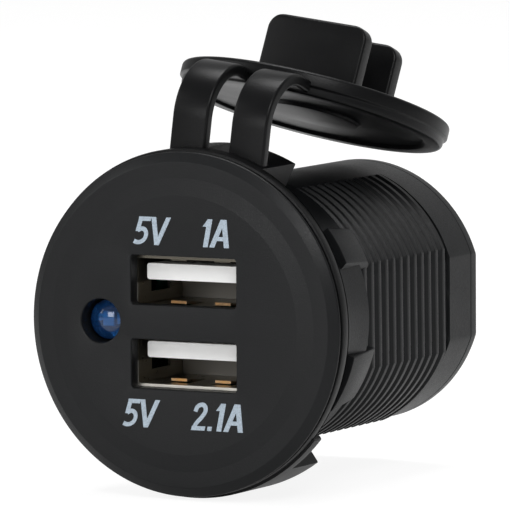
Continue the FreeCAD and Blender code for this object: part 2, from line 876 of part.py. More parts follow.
def lid_plug(height):
    """Sealing plug for a port, in the lid's own frame: Y along the plug, Z towards the straps."""
    floor = height - port_inner_height / 2
    z0 = floor + plug_floor_gap
    plug = block(port_x - plug_width / 2, port_x + plug_width / 2, -lid_recess - 0.2, plug_reach,
                 z0, z0 + plug_thickness)
    corners = []
    for edge in plug.Edges:
        box = edge.BoundBox
        if abs(box.YMin - plug_reach) < 1e-6 and box.YLength < 1e-6 and box.ZLength > 1:
            corners.append(edge)
    return plug.makeFillet(plug_corner, corners)


def cover_cap():
    """Lid with two plugs and the two stubs that meet the straps, stood open behind the face."""
    lid = lid_disc().fuse([lid_plug(height) for height in port_heights.values()])
    centre_y = strap_front + strap_bend_radius
    end_angle = math.radians(90 - lid_pitch)
    top = V(0, centre_y + strap_bend_radius * math.cos(end_angle),
            strap_bend_height + strap_bend_radius * math.sin(end_angle))
    centre, away, up = lid_axes()
    drop = (top - centre).dot(up)
    stub_start = lid_radius - lid_lip_width - lid_stub_overlap
    for x0, x1 in strap_spans():
        lid = lid.fuse(block(x0, x1, drop - strap_thickness, drop, stub_start, lid_stub))
    lid = lid.removeSplitter()
    # Built closed, with the plugs along +Y and the straps at +Z, then stood open.
    lid.rotate(O, X, 90 - lid_pitch)
    lid.translate(centre)
    return to_cover(lid)


def save(name, shapes):
    """Writes one node, as one solid or as a group of separate solids."""
    group = shapes if isinstance(shapes, list) else [shapes]
    solids = []
    for shape in group:
        solids.extend(shape.Solids)
    result = solids[0] if len(solids) == 1 else Part.makeCompound(solids)
    result.exportStep(os.path.join("parts", name + ".step"))


def main():
    os.makedirs("parts", exist_ok=True)
    save("housing", housing())
    for place, height in port_heights.items():
        save("usb_shell_" + place, usb_shell(height))
        save("usb_insulator_" + place, usb_insulator(height))
        save("usb_contacts_" + place, usb_contacts(height))
    save("lamp_lens", lamp_lens())
    save("lamp_leads", lamp_leads())
    save("port_board", port_board())
    save("power_board", power_board())
    save("board_pins", board_pins())
    save("rear_cap", rear_cap())
    save("positive_blade", blade(1))
    save("negative_blade", blade(-1))
    start = power_board_start
    save("input_capacitor", can_capacitor(0, start + input_capacitor_y))
    save("output_capacitors", [can_capacitor(x, start + output_capacitor_y) for x in (-part_x, part_x)])
    save("inductor_cores", [inductor_core(x, start + inductor_y) for x in (-part_x, part_x)])
    save("inductor_coils", [inductor_coil(x, start + inductor_y) for x in (-part_x, part_x)])
    save("converter_chips", [converter_chip(0, start + y) for y in converter_ys])
    save("rectifier_diodes", [diode(-diode_x), diode(diode_x)])
    fuse_y = power_board_end - fuse_inset
    save("input_fuse", block_device(fuse_x, fuse_y, fuse_width, fuse_length, fuse_height))
    save("cover_ring", cover_ring())
    save("cover_straps", cover_straps())
    save("cover_cap", cover_cap())


main()
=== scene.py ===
import math

import bmesh
import bpy
import numpy as np
from bpy.props import FloatProperty, FloatVectorProperty, PointerProperty
from mathutils import Matrix, Vector


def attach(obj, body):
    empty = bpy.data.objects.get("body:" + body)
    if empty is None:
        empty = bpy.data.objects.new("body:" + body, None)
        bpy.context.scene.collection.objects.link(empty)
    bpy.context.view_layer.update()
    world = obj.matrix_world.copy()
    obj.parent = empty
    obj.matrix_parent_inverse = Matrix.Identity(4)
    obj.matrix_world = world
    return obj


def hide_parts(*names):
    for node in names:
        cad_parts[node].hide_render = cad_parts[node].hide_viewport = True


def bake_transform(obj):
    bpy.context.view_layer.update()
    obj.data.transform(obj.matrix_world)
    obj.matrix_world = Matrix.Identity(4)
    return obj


bl_info = {
    "name": "Panel USB socket",
    "version": (1, 0, 0),
    "blender": (4, 5, 0),
    "location": "View3D > Sidebar > Socket",
    "description": "Builds a round panel socket with two ports and a soft flip cover",
    "category": "Object",
}

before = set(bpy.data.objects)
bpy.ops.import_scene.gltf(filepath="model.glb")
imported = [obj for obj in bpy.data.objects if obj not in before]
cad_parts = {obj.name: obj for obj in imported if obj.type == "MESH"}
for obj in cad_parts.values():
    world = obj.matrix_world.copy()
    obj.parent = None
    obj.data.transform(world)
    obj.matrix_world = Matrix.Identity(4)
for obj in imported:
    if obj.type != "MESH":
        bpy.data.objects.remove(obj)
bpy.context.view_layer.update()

MM = 0.001

# Driving sizes in millimetres, as the solids have them. Angles are in degrees from the top towards +X.
FACE_FRONT = -2.8
FACE_BACK = 0.7
FACE_RADIUS = 18.5
FACE_FLAT_RADIUS = 13.9
FACE_STEP_RADIUS = 15.75
FACE_STEP_DROP = 0.25
FACE_BAND_RADIUS = 17.45
FACE_RIM_DROP = 0.7
FACE_EDGE_CHAMFER = 0.3
FACE_FILLETS = (0, 0.6, 0.6, 0.25, 0.25, 0.06, 0.06, 0.05, 0)
RING_FRONT = -1.3
COLLAR_RADIUS = 15.2
COLLAR_END = 11.6
FLAT_REACH = 13.75
FLAT_GROOVE = 0.3
PLAIN_RADIUS = 14.5
THREAD_CREST = 14.9
THREAD_ROOT = 14.1
THREAD_PITCH = 1.725
THREAD_FIRST = 11.95
THREAD_TURNS = 13
THREAD_SPAN = 138.0
CREST_WIDTH = 0.7
ROOT_WIDTH = 1.4
THREAD_END = 34.1
BARREL_END = 40.9
RIM_CHAMFER = 0.35
BARREL_STEP = 1.6
SEAM_INSET = 1.5
SEAM_DEPTH = 0.1
FRONT_BORE = 12.0
REAR_BORE = 12.6
LIP_BORE = 13.15
BORE_STEP = 13.5
CAP_LIP_LENGTH = 0.9
LUG_FRONT = 7.2
LUG_BACK = 14.2
LUG_TOP = 16.1
LUG_TAIL = 14.95
LUG_SPANS = ((51.0, 70.0), (103.2, 127.0))
LUG_TRIM_TOP = 66.5
LUG_FOOT = 13.7
LUG_ROLL = 0.14
PORT_X = 0.3
WINDOW_HEIGHTS = (4.7, -4.3)
PORT_HEIGHTS = (4.34, -4.03)
WINDOW_HALF_WIDTH = 6.33
WINDOW_HALF_HEIGHT = 2.64
WINDOW_CORNER = 0.35
WINDOW_ROLL = 0.16
POCKET_GROWTH = 0.37
SHELL_FRONT = -1.3
SPRING_OFFSET = 2.65
SPRING_START = 2.0
SHELL_HALF_HEIGHT = 2.3
WIRE_PITCH = 0.32
CAN_TOP = 4.2
LAMP_X = -9.75
LAMP_Z = 0.1
LAMP_HOLE = 2.35
LAMP_HOLE_ROLL = 0.2
LAMP_RADIUS = 2.1
LAMP_FRONT = -1.65
LAMP_DOME = 0.6
LAMP_LENGTH = 5.4
LAMP_FLANGE = 0.1
LAMP_FLANGE_LENGTH = 0.75
LAMP_FLANGE_ROLL = 0.05
COVER_TURN = 7.0
RING_BORE = 15.3
RING_RADIUS = 18.65
RING_RISE = 0.15
RING_STEP = 1.5
RING_EDGE = 0.25
BLOCK_RADIUS = 18.8
BLOCK_LENGTH = 7.8
ROOT_BLOCK_HALF = 19.6
ROOT_NOTCH_HEIGHT = 17.0
FOOT_BLOCK_HALF = 42.7
FOOT_FLANGE_HALF = 58.0
FOOT_FLANGE_LENGTH = 1.8
STRAP_INNER_EDGE = 1.44
STRAP_SHIFT = 0.24
STRAP_WIDTH = 4.25
STRAP_FRONT = 0.7
STRAP_THICKNESS = 1.35
STRAP_BEND_HEIGHT = 21.7
STRAP_BEND_RADIUS = 5.7
STRAP_SPLIT = 3.1
STRAP_CORNER = 0.32
# How far each strap runs into the block and past the bend, and where its bending starts and ends.
STRAP_BURIAL = 1.2
STRAP_OVERRUN = 2.2
STRAP_BEND_MARGINS = (0.3, 0.4)
LID_PITCH = 18.0
LID_CENTRE = (0.0, 23.6, 23.1)
LID_RADIUS = 15.0
LID_THICKNESS = 2.5
LID_LIP_HEIGHT = 1.45
LID_STEP = 0.35
LID_LIP_WIDTH = 1.5
LID_RECESS = 0.7
LID_DISH_RADIUS = 12.4
LID_DISH = 0.35
LID_BOSS_RADIUS = 5.2
LID_FILLETS = (0, 0.3, 0.3, 0.45, 0.12, 0.15, 0.4, 0.3, 0.25, 0.25, 0.2, 0)
PLUG_WIDTH = 12.0
PLUG_THICKNESS = 2.05
PLUG_REACH = 7.5
PLUG_CORNER = 1.7
PLUG_EDGE = 0.35
PLUG_ROUND = 0.3
PLUG_BURIAL = 0.2
PLUG_OFFSETS = (3.305, -5.065)

LETTER_HEIGHT = 3.0
LETTER_SLANT = 0.2
FIVE_BOWL = (
    (0.3, 1.5), (0.72, 1.71), (1.14, 1.56), (1.36, 1.12),
    (1.24, 0.6), (0.86, 0.3), (0.44, 0.23), (0.02, 0.36))
TWO_BOW = (
    (0.16, 2.0), (0.34, 2.56), (0.84, 2.77), (1.26, 2.52),
    (1.34, 2.02), (1.04, 1.44), (0.58, 0.86), (0.3, 0.3))
# Each character's strokes. A curved one gives its points and width. A straight one gives its left and right
# ends at the bottom and at the top, and the heights of both.
GLYPHS = {
    "5": (((0.16, 1.6), (0.16, 1.66), 2.54, LETTER_HEIGHT), ((0.02, 0.5), (0.16, 0.66), 1.42, 2.7),
          (FIVE_BOWL, 0.46)),
    "V": (((0.92, 1.45), (0.0, 0.57), 0.0, LETTER_HEIGHT), ((0.92, 1.45), (1.8, 2.37), 0.0, LETTER_HEIGHT)),
    "1": (((0.47, 1.05), (0.47, 1.05), 0.0, LETTER_HEIGHT), ((0.02, 0.6), (0.5, 1.04), 2.2, LETTER_HEIGHT)),
    "A": (((0.0, 0.6), (0.8, 1.38), 0.0, LETTER_HEIGHT), ((1.77, 2.37), (0.88, 1.5), 0.0, LETTER_HEIGHT),
          ((0.45, 1.9), (0.5, 1.8), 0.72, 1.16)),
    "2": ((TWO_BOW, 0.48), ((0.0, 1.62), (0.06, 1.66), 0.0, 0.46)),
    ".": (((0.0, 0.52), (0.0, 0.52), 0.0, 0.46),),
}
# Ratings beside the ports: characters, where each starts, and the baseline's height.
RATINGS = (
    ("5V", (-5.69, -4.05), 8.5),
    ("1A", (2.25, 3.49), 8.5),
    ("5V", (-7.1, -5.5), -11.12),
    ("2.1A", (1.16, 3.1, 3.76, 5.05), -11.12),
)

# The camera stands where the photograph was taken from, in millimetres.
CAMERA_PLACE = (390.07, -730.31, 86.54)
CAMERA_AIM = (1.635, 11.2, 6.397)
CAMERA_ROLL = -0.28
CAMERA_LENS = 550.35
CAMERA_SENSOR = 36.0

# Edges sharper than this many degrees stay hard. Points closer than the weld, in millimetres, become one.
CREASE_ANGLE = 35.0
WELD = 0.0002

# Floor and backdrop in millimetres: half width, front edge, where the bend starts, its radius and the top.
FLOOR_HALF = 2400.0
FLOOR_FRONT = -2000.0
BACKDROP_START = 1900.0
BACKDROP_BEND = 300.0
BACKDROP_TOP = 2400.0
# The camera sees a share of the floor's shading over a plain glow. Other rays see its paint.
FLOOR_PAINT = ((0.78, 0.78, 0.78, 1.0), (0.8, 0.8, 0.8, 1.0))
FLOOR_SHADING = (0.2, 0.2, 0.2, 1.0)
FLOOR_GLOW = 0.88

# Softboxes: name, place, width, height in millimetres, and power in watts. All aim at the socket's middle.
SOFTBOXES = (
    ("key", (460.0, -620.0, 580.0), 360.0, 360.0, 4.2),
    ("left", (-620.0, -380.0, 330.0), 420.0, 420.0, 1.6),
    ("front", (-180.0, -860.0, 150.0), 320.0, 240.0, 1.7),
    ("top", (-40.0, 160.0, 760.0), 420.0, 300.0, 4.0),
)
SOFTBOX_AIM = (0.0, 12.0, 4.0)
WORLD_STRENGTH = 0.3

# How much of the floor's white the gloss of the object sees.
GLOSSY_SHARE = 0.4


def turn_about_y(points, degrees):
    """Points turned about the barrel's axis, so that a positive angle moves the top towards +X."""
    angle = math.radians(degrees)
    c, s = math.cos(angle), math.sin(angle)
    x, y, z = points[..., 0], points[..., 1], points[..., 2]
    return np.stack([x * c + z * s, y, z * c - x * s], -1)


def turn_about_x(points, degrees):
    """Points turned about X, so that a positive angle moves +Y towards +Z."""
    angle = math.radians(degrees)
    c, s = math.cos(angle), math.sin(angle)
    x, y, z = points[..., 0], points[..., 1], points[..., 2]
    return np.stack([x, y * c - z * s, y * s + z * c], -1)


def place_lid(points):
    """A point of the closed lid taken to where the open lid stands: tipped back, lifted and turned with the
    cover."""
    return turn_about_y(turn_about_x(points, 90 - LID_PITCH) + np.array(LID_CENTRE), COVER_TURN)


def smooth(value):
    """Smooth step from 0 to 1: three squares minus two cubes of the clipped value."""
    value = np.clip(value, 0.0, 1.0)
    return value * value * (3 - 2 * value)


def grid_faces(rows, columns, wrap_rows=False, wrap_columns=False, start=0):
    """Quads between neighbours of a grid of points, joined round where a direction closes on itself."""
    row = np.arange(rows if wrap_rows else rows - 1)
    column = np.arange(columns if wrap_columns else columns - 1)
    row, column = np.meshgrid(row, column, indexing="ij")
    next_row = (row + 1) % rows
    next_column = (column + 1) % columns
    quads = np.stack([
        row * columns + column, row * columns + next_column,
        next_row * columns + next_column, next_row * columns + column], -1)
    return quads.reshape(-1, 4) + start


def fan_faces(ring, centre):
    """Triangles from a closed ring of point numbers to one centre point."""
    ring = np.asarray(ring)
    return np.stack([ring, np.roll(ring, -1), np.full(len(ring), centre)], -1)


def signed_volume(points, faces):
    """Six times the volume inside the faces: the sum of the triple products of each face's fan."""
    total = 0.0
    for group in faces:
        for k in range(1, group.shape[1] - 1):
            a, b, c = points[group[:, 0]], points[group[:, k]], points[group[:, k + 1]]
            total += float(np.einsum("ij,ij->i", a, np.cross(b, c)).sum())
    return total


def make_piece(name, points, faces, outwards=True):
    """One mesh object at the origin from points in millimetres and arrays of faces, smooth but for sharp
    edges."""
    points = np.asarray(points, float).reshape(-1, 3)
    groups = [np.asarray(group, int) for group in faces if len(group)]
    if outwards and signed_volume(points, groups) < 0:
        groups = [group[:, ::-1] for group in groups]
    mesh = bpy.data.meshes.new(name)
    corners = np.concatenate([group.ravel() for group in groups]).astype(np.int32)
    sizes = np.concatenate([np.full(len(group), group.shape[1]) for group in groups]).astype(np.int32)
    mesh.vertices.add(len(points))
    mesh.vertices.foreach_set("co", (points * MM).astype(np.float32).ravel())
    mesh.loops.add(len(corners))
    mesh.loops.foreach_set("vertex_index", corners)
    mesh.polygons.add(len(sizes))
    mesh.polygons.foreach_set("loop_start", np.concatenate([[0], np.cumsum(sizes)[:-1]]).astype(np.int32))
    mesh.polygons.foreach_set("loop_total", sizes)
    mesh.update(calc_edges=True)
    mesh.validate()
    mesh.polygons.foreach_set("use_smooth", np.ones(len(mesh.polygons), bool))
    mesh.set_sharp_from_angle(angle=math.radians(CREASE_ANGLE))
    piece = bpy.data.objects.new(name, mesh)
    bpy.context.scene.collection.objects.link(piece)
    return piece


def join_parts(parts):
    """Several (points, faces) parts as one, with each part's point numbers moved on past the ones before."""
    points, faces, count = [], [], 0
    for part_points, part_faces in parts:
        part_points = np.asarray(part_points, float).reshape(-1, 3)
        points.append(part_points)
        faces.extend([np.asarray(group, int) + count for group in part_faces if len(group)])
        count += len(part_points)
    return np.concatenate(points), faces


def turned_part(outline, segments=192):
    """A surface of revolution about Y: each (radius, y) goes round at x = radius sin t, z = radius cos t.
    Ends that lie on the axis close in a fan; any other outline closes on itself."""
    outline = np.asarray(outline, float)
    t = np.linspace(0, 2 * math.pi, segments, endpoint=False)
    on_axis = outline[0, 0] < 1e-9
    body = outline[1:-1] if on_axis else outline
    radius, y = body[:, :1], np.repeat(body[:, 1:], segments, 1)
    points = np.stack([radius * np.sin(t), y, radius * np.cos(t)], -1).reshape(-1, 3)
    faces = [grid_faces(len(body), segments, not on_axis, True)]
    if on_axis:
        count = len(points)
        points = np.concatenate([points, [[0, outline[0, 1], 0], [0, outline[-1, 1], 0]]])
        first = np.arange(segments)
        last = np.arange(segments) + (len(body) - 1) * segments
        faces.append(fan_faces(first[::-1], count))
        faces.append(fan_faces(last, count + 1))
    return points, faces


def rounded_outline(corners, radius, steps=5):
    """A chain of (r, y) corners with each inner corner cut by an arc of its radius.
    The arc's ends lie radius / tan(half angle) from the corner, and its points turn evenly between them."""
    corners = [np.array(c, float) for c in corners]
    radii = radius if np.ndim(radius) else [radius] * len(corners)
    result = [corners[0]]
    for k in range(1, len(corners) - 1):
        before, here, after = corners[k - 1], corners[k], corners[k + 1]
        a = (before - here) / np.linalg.norm(before - here)
        b = (after - here) / np.linalg.norm(after - here)
        angle = math.acos(float(np.clip(a @ b, -1, 1)))
        if radii[k] < 1e-6 or abs(math.pi - angle) < 1e-3:
            result.append(here)
            continue
        cut = radii[k] / math.tan(angle / 2)
        centre = here + (a + b) / np.linalg.norm(a + b) * radii[k] / math.sin(angle / 2)
        start, end = here + a * cut - centre, here + b * cut - centre
        sweep = math.pi - angle
        side = np.sign(start[0] * end[1] - start[1] * end[0])
        for u in np.linspace(0, sweep, steps):
            c, s = math.cos(u * side), math.sin(u * side)
            result.append(centre + np.array([start[0] * c - start[1] * s, start[0] * s + start[1] * c]))
    result.append(corners[-1])
    return np.array(result)


def rounded_box_loop(half_width, half_height, radius, steps=7):
    """Points round a rectangle with quarter-circle corners, starting on the right side."""
    radius = max(radius, 1e-3)
    loop = []
    for quarter, (sx, sz) in enumerate(((1, 1), (-1, 1), (-1, -1), (1, -1))):
        t = np.linspace(0, math.pi / 2, steps) + quarter * math.pi / 2
        across = sx * (half_width - radius) + radius * np.cos(t)
        up = sz * (half_height - radius) + radius * np.sin(t)
        loop.append(np.stack([across, up], -1))
    return np.concatenate(loop)


def circle_loop(radius, count=56):
    """Points round a circle."""
    t = np.linspace(0, 2 * math.pi, count, endpoint=False)
    return np.stack([radius * np.cos(t), radius * np.sin(t)], -1)


def flat_with_holes(outer, holes, y):
    """Triangles that fill a flat outline around its holes, at one y. All loops are (x, z) arrays."""
    work = bmesh.new()
    for loop in [outer] + list(holes):
        points = [work.verts.new((x, y, z)) for x, z in loop]
        for k, point in enumerate(points):
            work.edges.new((point, points[(k + 1) % len(points)]))
    bmesh.ops.triangle_fill(work, use_beauty=True, use_dissolve=False, edges=work.edges[:])
    work.verts.index_update()
    points = np.array([v.co for v in work.verts])
    faces = np.array([[v.index for v in face.verts] for face in work.faces])
    work.free()
    a, b, c = (points[faces[:, k]] for k in range(3))
    backwards = np.cross(b - a, c - a)[:, 1] > 0
    faces[backwards] = faces[backwards][:, ::-1]
    return points, faces


def barrel_angles():
    """Angles round the barrel: even steps, with close pairs where ridges and flats begin and end."""
    edge = 90 - math.degrees(math.acos(FLAT_REACH / THREAD_CREST))
    inner = 90 - math.degrees(math.acos((FLAT_REACH - FLAT_GROOVE) / THREAD_ROOT))
    plain = 90 - math.degrees(math.acos(FLAT_REACH / PLAIN_RADIUS))
    half = THREAD_SPAN / 2
    near = [90 - half + step for step in (-0.6, 0.0, 0.5, 1.2, 2.2, 3.4)]
    near += [edge - 0.4, edge, edge + 0.4, inner, plain]
    right = near + [180 - a for a in near]
    marks = np.unique(np.round(right + [360 - a for a in right], 4))
    even = np.arange(0, 360, BARREL_STEP)
    kept = [a for a in even if np.abs(marks - a).min() > 0.35]
    return np.sort(np.concatenate([marks, kept]))


def thread_lean(angles):
    """How far the thread has climbed at each angle from a side's middle: pitch times angle over a full turn.
    The left side starts half a pitch on, and the plain strips between the sides join the two smoothly."""
    half = THREAD_SPAN / 2
    a = np.mod(angles, 360)
    right = THREAD_PITCH * (a - 90) / 360
    left = THREAD_PITCH * (a - 270) / 360 + THREAD_PITCH / 2
    end_right = THREAD_PITCH * half / 360
    start_left = -end_right + THREAD_PITCH / 2
    end_left = end_right + THREAD_PITCH / 2
    bottom = end_right + (start_left - end_right) * smooth((a - 90 - half) / (180 - 2 * half))
    over = np.mod(a - 270 - half, 360) / (180 - 2 * half)
    top = end_left + (-end_right - end_left) * smooth(over)
    lean = np.where(np.abs(a - 90) <= half, right, np.where(np.abs(a - 270) <= half, left, top))
    return np.where((a > 90 + half) & (a < 270 - half), bottom, lean)


def barrel_depths(lean):
    """Depth of each row at each angle. Rows follow the thread's lean with close pairs at each ridge's
    edges, and at both ends they fan out evenly from the leaning row to the straight edge of the collar and
    of the rim."""
    first = THREAD_FIRST + THREAD_PITCH / 2 + lean
    last = THREAD_FIRST + THREAD_PITCH * (THREAD_TURNS - 0.5) + lean
    fan = np.linspace(0, 1, 25)[:, None]
    base = (ROOT_WIDTH - CREST_WIDTH) / 2
    crest = CREST_WIDTH / 2
    half = np.array([crest - 0.05, crest + base * 0.12, crest + base])
    steps = np.concatenate([-half[::-1], [0.0], half])
    middles = THREAD_FIRST + THREAD_PITCH * np.arange(1, THREAD_TURNS)
    leaning = (middles[:, None] + steps).reshape(-1, 1) + lean
    front = COLLAR_END + (first - COLLAR_END) * fan
    back = last + (THREAD_END + 1.0 - last) * fan
    return np.concatenate([front, leaning, back])


def barrel_radius(angles, depths, lean):
    """Outer radius over angle and depth: plain strips, ridges with trapezoid flanks and side flats. A ridge's
    height falls from 1 to 0 between half the crest's and half the root's width from its middle, and each flat
    limits radius times the sine of the angle."""
    a = np.mod(angles, 360)[None, :]
    along = depths - lean
    side = np.minimum(np.abs(a - 90), np.abs(a - 270))
    half = THREAD_SPAN / 2
    phase = (along - THREAD_FIRST + THREAD_PITCH / 2) % THREAD_PITCH - THREAD_PITCH / 2
    ridge = np.clip((ROOT_WIDTH / 2 - np.abs(phase)) / ((ROOT_WIDTH - CREST_WIDTH) / 2), 0, 1)
    turns = (along - THREAD_FIRST) / THREAD_PITCH
    in_thread = (turns > -0.5) & (turns < THREAD_TURNS - 0.5)
    ridge = np.where(in_thread, ridge, 0.0)
    fade = smooth((half - side) / 2.4)
    strip = np.where(side > half - 0.2, PLAIN_RADIUS, THREAD_ROOT)
    body = np.where(side > half, PLAIN_RADIUS, strip + (THREAD_CREST - THREAD_ROOT) * ridge * fade)
    rim = depths >= THREAD_END
    body = np.where(rim, np.maximum(body, PLAIN_RADIUS), body)
    reach = np.where(rim, FLAT_REACH, FLAT_REACH - FLAT_GROOVE * (1 - ridge))
    across = np.maximum(np.abs(np.sin(np.radians(a))), 1e-3)
    return np.minimum(body, reach / across)


def lug_part(start, end, mirrored):
    """One snap lug: a ramp section carried round between two angles, its top falling from the high front
    edge. The top draws in along a quarter circle at both ends, and the trimmed lug's top also stays below a
    line from its foot at the end angle to its top at the trim angle."""
    near = np.array([0, 0.05, 0.15, 0.3, 0.5, 0.75])
    angles = np.concatenate([start + near, np.linspace(start + 1.2, end - 1.2, 16), end - near[::-1]])
    into = np.minimum(angles - start, end - angles) * math.radians(LUG_TOP)
    drawn = LUG_ROLL * (1 - np.sqrt(np.clip(1 - (1 - np.clip(into / LUG_ROLL, 0, 1)) ** 2, 0, 1)))
    limit = np.full(len(angles), 99.0)
    if start < LUG_TRIM_TOP < end:
        foot, top = math.radians(end), math.radians(LUG_TRIM_TOP)
        low = THREAD_ROOT * np.array([math.sin(foot), math.cos(foot)])
        high = LUG_TOP * np.array([math.sin(top), math.cos(top)])
        along = (high - low) / np.linalg.norm(high - low)
        away = np.array([along[1], -along[0]])
        t = np.radians(angles)
        limit = (low @ away) / np.maximum(np.sin(t) * away[0] + np.cos(t) * away[1], 1e-3)
    roll = LUG_ROLL
    slope = (LUG_TAIL - LUG_TOP) / (LUG_BACK - LUG_FRONT)
    at_front, at_back = np.array([0, 0, roll * 0.3, roll]), np.array([0.05, 0, 0])
    depths = np.concatenate([LUG_FRONT + at_front, LUG_BACK - at_back])
    tops = LUG_TOP + slope * (depths - LUG_FRONT) - np.array([0, roll, roll * 0.3, 0, 0, 0.05, 0])
    tops[0] = tops[-1] = LUG_FOOT
    radii = np.minimum(tops[:, None] - drawn * (tops[:, None] > LUG_FOOT + 0.01), limit)
    radii = np.maximum(radii, LUG_FOOT)
    t = np.radians(-angles if mirrored else angles)
    y = np.broadcast_to(depths[:, None], radii.shape)
    points = np.stack([radii * np.sin(t), y, radii * np.cos(t)], -1)
    return closed_tube(points.transpose(1, 0, 2))


def closed_tube(rings):
    """Rings of points joined one after the other, each end closed by a fan to its middle."""
    rings = np.asarray(rings)
    count = rings.shape[1]
    points = rings.reshape(-1, 3)
    total = len(points)
    centres = np.array([rings[0].mean(0), rings[-1].mean(0)])
    first = np.arange(count)
    faces = [grid_faces(len(rings), count, False, True), fan_faces(first[::-1], total),
             fan_faces(first + total - count, total + 1)]
    return np.concatenate([points, centres]), faces


def shaped_ring(radius, y, angles):
    """Points at given radii and depths round the barrel's axis: x = radius sin t, z = radius cos t."""
    t = np.broadcast_to(np.radians(angles), np.shape(radius))
    return np.stack([radius * np.sin(t), np.broadcast_to(y, t.shape), radius * np.cos(t)], -1)


def housing_shell():
    """The whole housing as one closed skin: the face with its windows, the rolled edge, the collar, the
    barrel's outer surface, the rear rim, the bore and the face's back."""
    angles = barrel_angles()
    count = len(angles)
    ones = np.ones(count)
    band_y = FACE_FRONT + FACE_STEP_DROP
    rim_y = band_y + FACE_RIM_DROP
    front = rounded_outline([
        (FACE_FLAT_RADIUS - 0.2, FACE_FRONT), (FACE_FLAT_RADIUS, FACE_FRONT), (FACE_STEP_RADIUS, band_y),
        (FACE_BAND_RADIUS, band_y), (FACE_RADIUS, rim_y), (FACE_RADIUS, RING_FRONT - FACE_EDGE_CHAMFER),
        (FACE_RADIUS - FACE_EDGE_CHAMFER, RING_FRONT), (COLLAR_RADIUS, RING_FRONT),
        (COLLAR_RADIUS, COLLAR_END)],
        FACE_FILLETS, 6)
    rings = [shaped_ring(r * ones, y, angles) for r, y in front]
    lean = thread_lean(angles)
    depths = barrel_depths(lean)
    rings += list(shaped_ring(barrel_radius(angles, depths, lean), depths, angles))
    across = np.maximum(np.abs(np.sin(np.radians(angles))), 1e-3)
    seam = BARREL_END - SEAM_INSET
    for r, reach, y in (
            (PLAIN_RADIUS, FLAT_REACH, seam - 0.1),
            (PLAIN_RADIUS - SEAM_DEPTH, FLAT_REACH - SEAM_DEPTH, seam),
            (PLAIN_RADIUS, FLAT_REACH, seam + 0.1),
            (PLAIN_RADIUS, FLAT_REACH, BARREL_END - RIM_CHAMFER),
            (PLAIN_RADIUS - RIM_CHAMFER * 0.3, FLAT_REACH - 0.05, BARREL_END - RIM_CHAMFER * 0.3),
            (PLAIN_RADIUS - RIM_CHAMFER, FLAT_REACH - 0.15, BARREL_END),
            (LIP_BORE, LIP_BORE, BARREL_END)):
        rings.append(shaped_ring(np.minimum(r, reach / across), y, angles))
    ledge = BARREL_END - CAP_LIP_LENGTH
    bore = [
        (LIP_BORE, ledge), (REAR_BORE, ledge), (REAR_BORE, BORE_STEP), (FRONT_BORE, BORE_STEP),
        (FRONT_BORE, FACE_BACK)]
    rings += [shaped_ring(r * ones, y, angles) for r, y in bore]
    rings = np.array(rings)
    parts = [(rings.reshape(-1, 3), [grid_faces(len(rings), count, False, True)])]
    parts += face_openings(rings[0], rings[-1])
    points, faces = join_parts(parts)
    return merged(points, faces)


def lug_parts():
    """Both pairs of snap lugs."""
    return [lug_part(start, end, mirrored) for start, end in LUG_SPANS for mirrored in (False, True)]


def face_openings(front_ring, back_ring):
    """The flat front and back of the face around its openings, and the walls of each opening.
    Each front edge rolls into its wall along a quarter circle."""
    roll = WINDOW_ROLL
    fronts, backs, walls = [], [], []
    for height, port_height in zip(WINDOW_HEIGHTS, PORT_HEIGHTS):
        steps = []
        for u in np.linspace(0, math.pi / 2, 5):
            grow = roll * (1 - math.sin(u))
            steps.append((grow, FACE_FRONT + roll * (1 - math.cos(u)), height))
        steps += [(0.0, SHELL_FRONT, height), (POCKET_GROWTH, SHELL_FRONT, port_height),
                  (POCKET_GROWTH, FACE_BACK, port_height)]
        loops = []
        for grow, y, level in steps:
            loop = rounded_box_loop(WINDOW_HALF_WIDTH + grow, WINDOW_HALF_HEIGHT + grow, WINDOW_CORNER + grow)
            loops.append(np.stack([loop[:, 0] + PORT_X, np.full(len(loop), y), loop[:, 1] + level], -1))
        walls.append(np.array(loops))
    roll = LAMP_HOLE_ROLL
    quarter = np.linspace(0, math.pi / 2, 5)
    steps = [(roll * (1 - math.sin(u)), FACE_FRONT + roll * (1 - math.cos(u))) for u in quarter]
    steps += [(0.0, FACE_BACK)]
    loops = []
    for grow, y in steps:
        loop = circle_loop(LAMP_HOLE + grow)
        loops.append(np.stack([loop[:, 0] + LAMP_X, np.full(len(loop), y), loop[:, 1] + LAMP_Z], -1))
    walls.append(np.array(loops))
    parts = []
    for wall in walls:
        fronts.append(wall[0][:, [0, 2]])
        backs.append(wall[-1][:, [0, 2]])
        parts.append((wall.reshape(-1, 3), [grid_faces(len(wall), wall.shape[1], False, True)]))
    front_points, front_faces = flat_with_holes(front_ring[:, [0, 2]], fronts, FACE_FRONT)
    back_points, back_faces = flat_with_holes(back_ring[:, [0, 2]], backs, FACE_BACK)
    parts.append((front_points, [front_faces]))
    parts.append((back_points, [back_faces[:, ::-1]]))
    return parts


def merged(points, faces):
    """Points closer than a ten-thousandth of a millimetre made one, and faces that vanish by it left out."""
    keys = np.round(points * 10000).astype(np.int64)
    _, first, number = np.unique(keys, axis=0, return_index=True, return_inverse=True)
    number = number.ravel()
    kept = []
    for group in faces:
        group = number[group]
        following = np.roll(group, -1, 1)
        whole = (group != following).all(1)
        kept.append(group[whole])
        if group.shape[1] == 4:
            short = group[~whole]
            for face in short:
                corners = list(dict.fromkeys(face.tolist()))
                if len(corners) == 3:
                    kept.append(np.array([corners]))
    return points[first], kept


